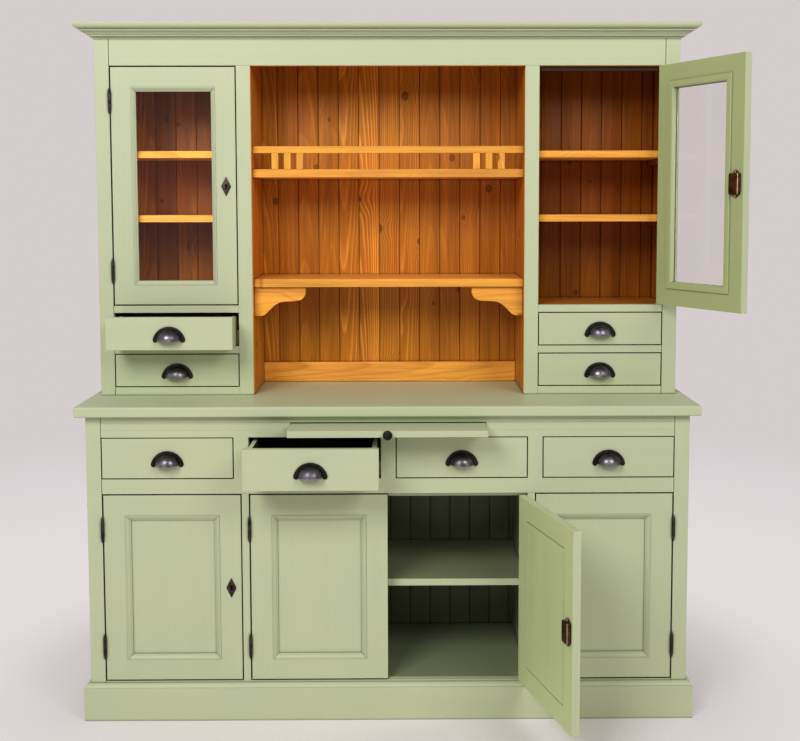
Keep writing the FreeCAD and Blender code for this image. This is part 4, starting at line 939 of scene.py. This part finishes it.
lock_wide, lock_tall, lock_thick, case_corner, case_arris = 0.040, 0.062, 0.013, 0.006, 0.0028
lug, lug_wide, lug_thick, lug_corner, lug_arris = 0.008, 0.017, 0.004, 0.0065, 0.0007
screw_head, screw_dome, screw_out, slot_wide, slot_deep = 0.0032, 0.0016, 0.00336, 0.0012, 0.0008
plate_wide, plate_tall, plate_thick, plate_arris = 0.031, 0.062, 0.0025, 0.0011
keyhole_radius, keyhole_rise, keyhole_deep, keyhole_arris = 0.0041, 0.0036, 0.0006, 0.0001
slit_wide, slit_tall, slit_drop, slit_flare = 0.0034, 0.0088, 0.0028, 1.8


def rounded_block(name, wide, thick, tall, corner, arris, segments):
    """A block standing on the door's inner face, with its four corners well rounded."""
    block = start_piece(name, bpy.ops.mesh.primitive_cube_add, size=1.0, location=(0, thick / 2, 0),
                        scale=(wide, thick, tall))
    bevel_edges(lambda one, other: abs(one.y - other.y) > thick / 2, corner, segments=6)
    close_piece(block, arris, segments)
    block.data.materials.append(bronze)
    return block


case = rounded_block("lock_case", lock_wide, lock_thick, lock_tall, case_corner, case_arris, segments=4)
# The faces round the case's arris toward the free edge are bright brass as a painted highlight.
case.data.materials.append(rubbed_brass)
for face in case.data.polygons:
    face.material_index = int(face.normal.x > 0.3 and face.normal.y > 0.3)
lugs = rounded_block("lock_lugs", lug_wide, lug_thick, lock_tall + 2 * lug, lug_corner, lug_arris, segments=2)
screws = []
for end in (1, -1):
    screw = start_piece("lock_screw", bpy.ops.mesh.primitive_uv_sphere_add, segments=20, ring_count=10,
                        radius=1.0, scale=(screw_head, screw_dome, screw_head),
                        location=(0, lug_thick, end * (lock_tall / 2 + screw_out)))
    select_faces(lambda place, normal: normal.y > 0.8 and abs(place.x) < slot_wide / 2)
    bpy.ops.transform.translate(value=(0, -slot_deep, 0))
    close_piece(screw)
    screw.data.materials.append(rubbed_brass)
    screws.append(screw)
lock = join_pieces("rim_lock", [case, lugs, *screws])

plate = start_piece("keyhole_plate", bpy.ops.mesh.primitive_cylinder_add, vertices=4, radius=1.0,
                    depth=plate_thick, location=(0, -plate_thick / 2, 0), rotation=(math.pi / 2, 0, 0))
corners = bmesh.from_edit_mesh(plate.data).verts
wide = max(abs(vert.co.x) for vert in corners)
tall = max(abs(vert.co.z) for vert in corners)
bpy.ops.transform.resize(value=(plate_wide / 2 / wide, 1, plate_tall / 2 / tall), center_override=(0, 0, 0))
close_piece(plate, plate_arris)
plate.data.materials.append(dark_plate)
# The eye and the slit: painted shade where the keyhole goes in.
eye = start_piece("keyhole_eye", bpy.ops.mesh.primitive_cylinder_add, vertices=24, radius=keyhole_radius,
                  depth=keyhole_deep, location=(0, -plate_thick, keyhole_rise), rotation=(math.pi / 2, 0, 0))
close_piece(eye, keyhole_arris)
eye.data.materials.append(keyhole_dark)
slit = start_piece("keyhole_slit", bpy.ops.mesh.primitive_cube_add, size=1.0,
                   location=(0, -plate_thick, -slit_drop), scale=(slit_wide, keyhole_deep, slit_tall))
select_verts(lambda place: place.z < -slit_drop)
bpy.ops.transform.resize(value=(slit_flare, 1, 1), center_override=(0, -plate_thick, -slit_drop))
close_piece(slit, keyhole_arris)
slit.data.materials.append(keyhole_dark)
plate = join_pieces("keyhole_plate", [plate, eye, slit])

door_thick, hinge_inset, lock_inset, plate_inset = 0.0235, 0.108, 0.012, 0.033
unlocked = "base_door_2"
for door in base_doors + glazed_doors:
    axis = Vector(joint_of[door]["pos_m"])
    places = [shut(door) @ vert.co for vert in frame["nodes"][door].data.vertices]
    low, high = board_box(places, range(len(places)))
    hand = Matrix.Scale(-1 if axis.x > 0 else 1, 4, (1, 0, 0))
    still = Matrix.Translation((axis.x, axis.y, 0)) @ hand
    hung = shut(door).inverted() @ still
    heights = (low.z + hinge_inset, high.z - hinge_inset)
    fixed = [another(fixed_hinge, f"{door}_hinge_knuckles", still @ Matrix.Translation((0, 0, height)))
             for height in heights]
    knuckles = join_pieces(f"{door}_fixed_hinges", fixed)
    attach(knuckles, "carcass")
    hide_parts("base_hinge_leaves" if door in base_doors else "hutch_hinge_leaves")
    iron = [another(moving_hinge, f"{door}_iron", hung @ Matrix.Translation((0, 0, height)))
            for height in heights]
    if door != unlocked:
        free_edge = leaf_gap / 2 + high.x - low.x
        lock_at = (free_edge - lock_inset - lock_wide / 2, proud + door_thick, axis.z)
        plate_at = (free_edge - plate_inset, proud, axis.z)
        iron.append(another(lock, f"{door}_lock", hung @ Matrix.Translation(lock_at)))
        iron.append(another(plate, f"{door}_plate", hung @ Matrix.Translation(plate_at)))
    ironwork = join_pieces(f"{door}_hardware", iron)
    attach(ironwork, door)
    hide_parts(f"{door}_ironwork")
for pattern in (fixed_hinge, moving_hinge, lock, plate):
    bpy.data.objects.remove(pattern)

# The studio: a plain pale floor that fades into a pale backdrop, one broad soft lamp high in front on
# the left, a weaker one on the right, and an even sky light.
backdrop, pale_haze = (0.665, 0.605, 0.618, 1), (0.765, 0.71, 0.72, 1)
floor_size, lamp_size, aimed_at = 40, 2.0, Vector((0, 0, 1.05))
lamps = {"left_lamp": (Vector((-1.9, -4.0, 3.75)), 134.0), "right_lamp": (Vector((2.5, -3.9, 3.6)), 84.0)}


def seen_rays(tree):
    """One for a ray by which a surface is seen, straight on, in a reflection or through glass."""
    rays = add(tree, "ShaderNodeLightPath")
    in_glass = sums(tree, "MAXIMUM", rays.outputs["Is Glossy Ray"], rays.outputs["Is Transmission Ray"])
    return sums(tree, "MAXIMUM", rays.outputs["Is Camera Ray"], in_glass)


bpy.ops.object.select_all(action="DESELECT")
bpy.ops.mesh.primitive_plane_add(size=floor_size, location=(0, 0, 0))
floor = bpy.context.object
floor.name = "floor"
floor_paint, tree, shader = start_finish("pale_floor")
shader.inputs["Base Color"].default_value = (0.92, 0.865, 0.87, 1)
shader.inputs["Roughness"].default_value = 0.6
shader.inputs["Specular IOR Level"].default_value = 0.2
reach = add(tree, "ShaderNodeVectorMath", {0: in_place(tree)}, operation="LENGTH").outputs["Value"]
fade = between(tree, reach, 0.6, 1.6, interpolation_type="SMOOTHSTEP")
far = between(tree, reach, 1.8, 5.0, interpolation_type="SMOOTHSTEP")
haze = mixed(tree, far, pale_haze, backdrop)
glow = add(tree, "ShaderNodeEmission", {"Color": haze, "Strength": 1.0}).outputs[0]
faded = sums(tree, "MULTIPLY", fade, seen_rays(tree))
ground = add(tree, "ShaderNodeMixShader", {0: faded, 1: shader.outputs[0], 2: glow}).outputs[0]
tree.links.new(ground, tree.nodes["Material Output"].inputs["Surface"])
floor.data.materials.append(floor_paint)

sky = bpy.data.worlds.new("studio_sky")
bpy.context.scene.world = sky
sky.use_nodes = True
tree = sky.node_tree
even = tree.nodes["Background"]
even.inputs["Color"].default_value = (1.0, 0.985, 0.965, 1)
even.inputs["Strength"].default_value = 0.22
pale = add(tree, "ShaderNodeBackground", {"Color": backdrop, "Strength": 1.0}).outputs[0]
both = add(tree, "ShaderNodeMixShader", {0: seen_rays(tree), 1: even.outputs[0], 2: pale}).outputs[0]
tree.links.new(both, tree.nodes["World Output"].inputs["Surface"])

for name, (stands_at, power) in lamps.items():
    lamp = bpy.data.lights.new(name, "AREA")
    lamp.shape = "SQUARE"
    lamp.size = lamp_size
    lamp.energy = power
    stand = bpy.data.objects.new(name, lamp)
    studio.objects.link(stand)
    stand.location = stands_at
    stand.rotation_euler = (aimed_at - stands_at).to_track_quat("-Z", "Y").to_euler()

# The camera: nearly straight in front, level with the middle of the hutch and looking slightly down. Its
# picture is shifted a little to the left and downward, to match the photograph's framing.
viewpoint = (0.0472, -3.8277, 1.5885)
turned, tilted, rolled = -0.0086, -0.0783, -0.0017
camera = bpy.data.cameras.new("camera")
camera.lens = 53.36
camera.sensor_width = 36
camera.shift_x = -0.0169
camera.shift_y = -0.0913
tripod = bpy.data.objects.new("camera", camera)
studio.objects.link(tripod)
aim = Matrix.Rotation(turned, 4, "Z") @ Matrix.Rotation(math.pi / 2 + tilted, 4, "X")
tripod.matrix_world = Matrix.Translation(viewpoint) @ aim @ Matrix.Rotation(rolled, 4, "Z")
bpy.context.scene.camera = tripod
bpy.context.scene.view_settings.view_transform = "Standard"
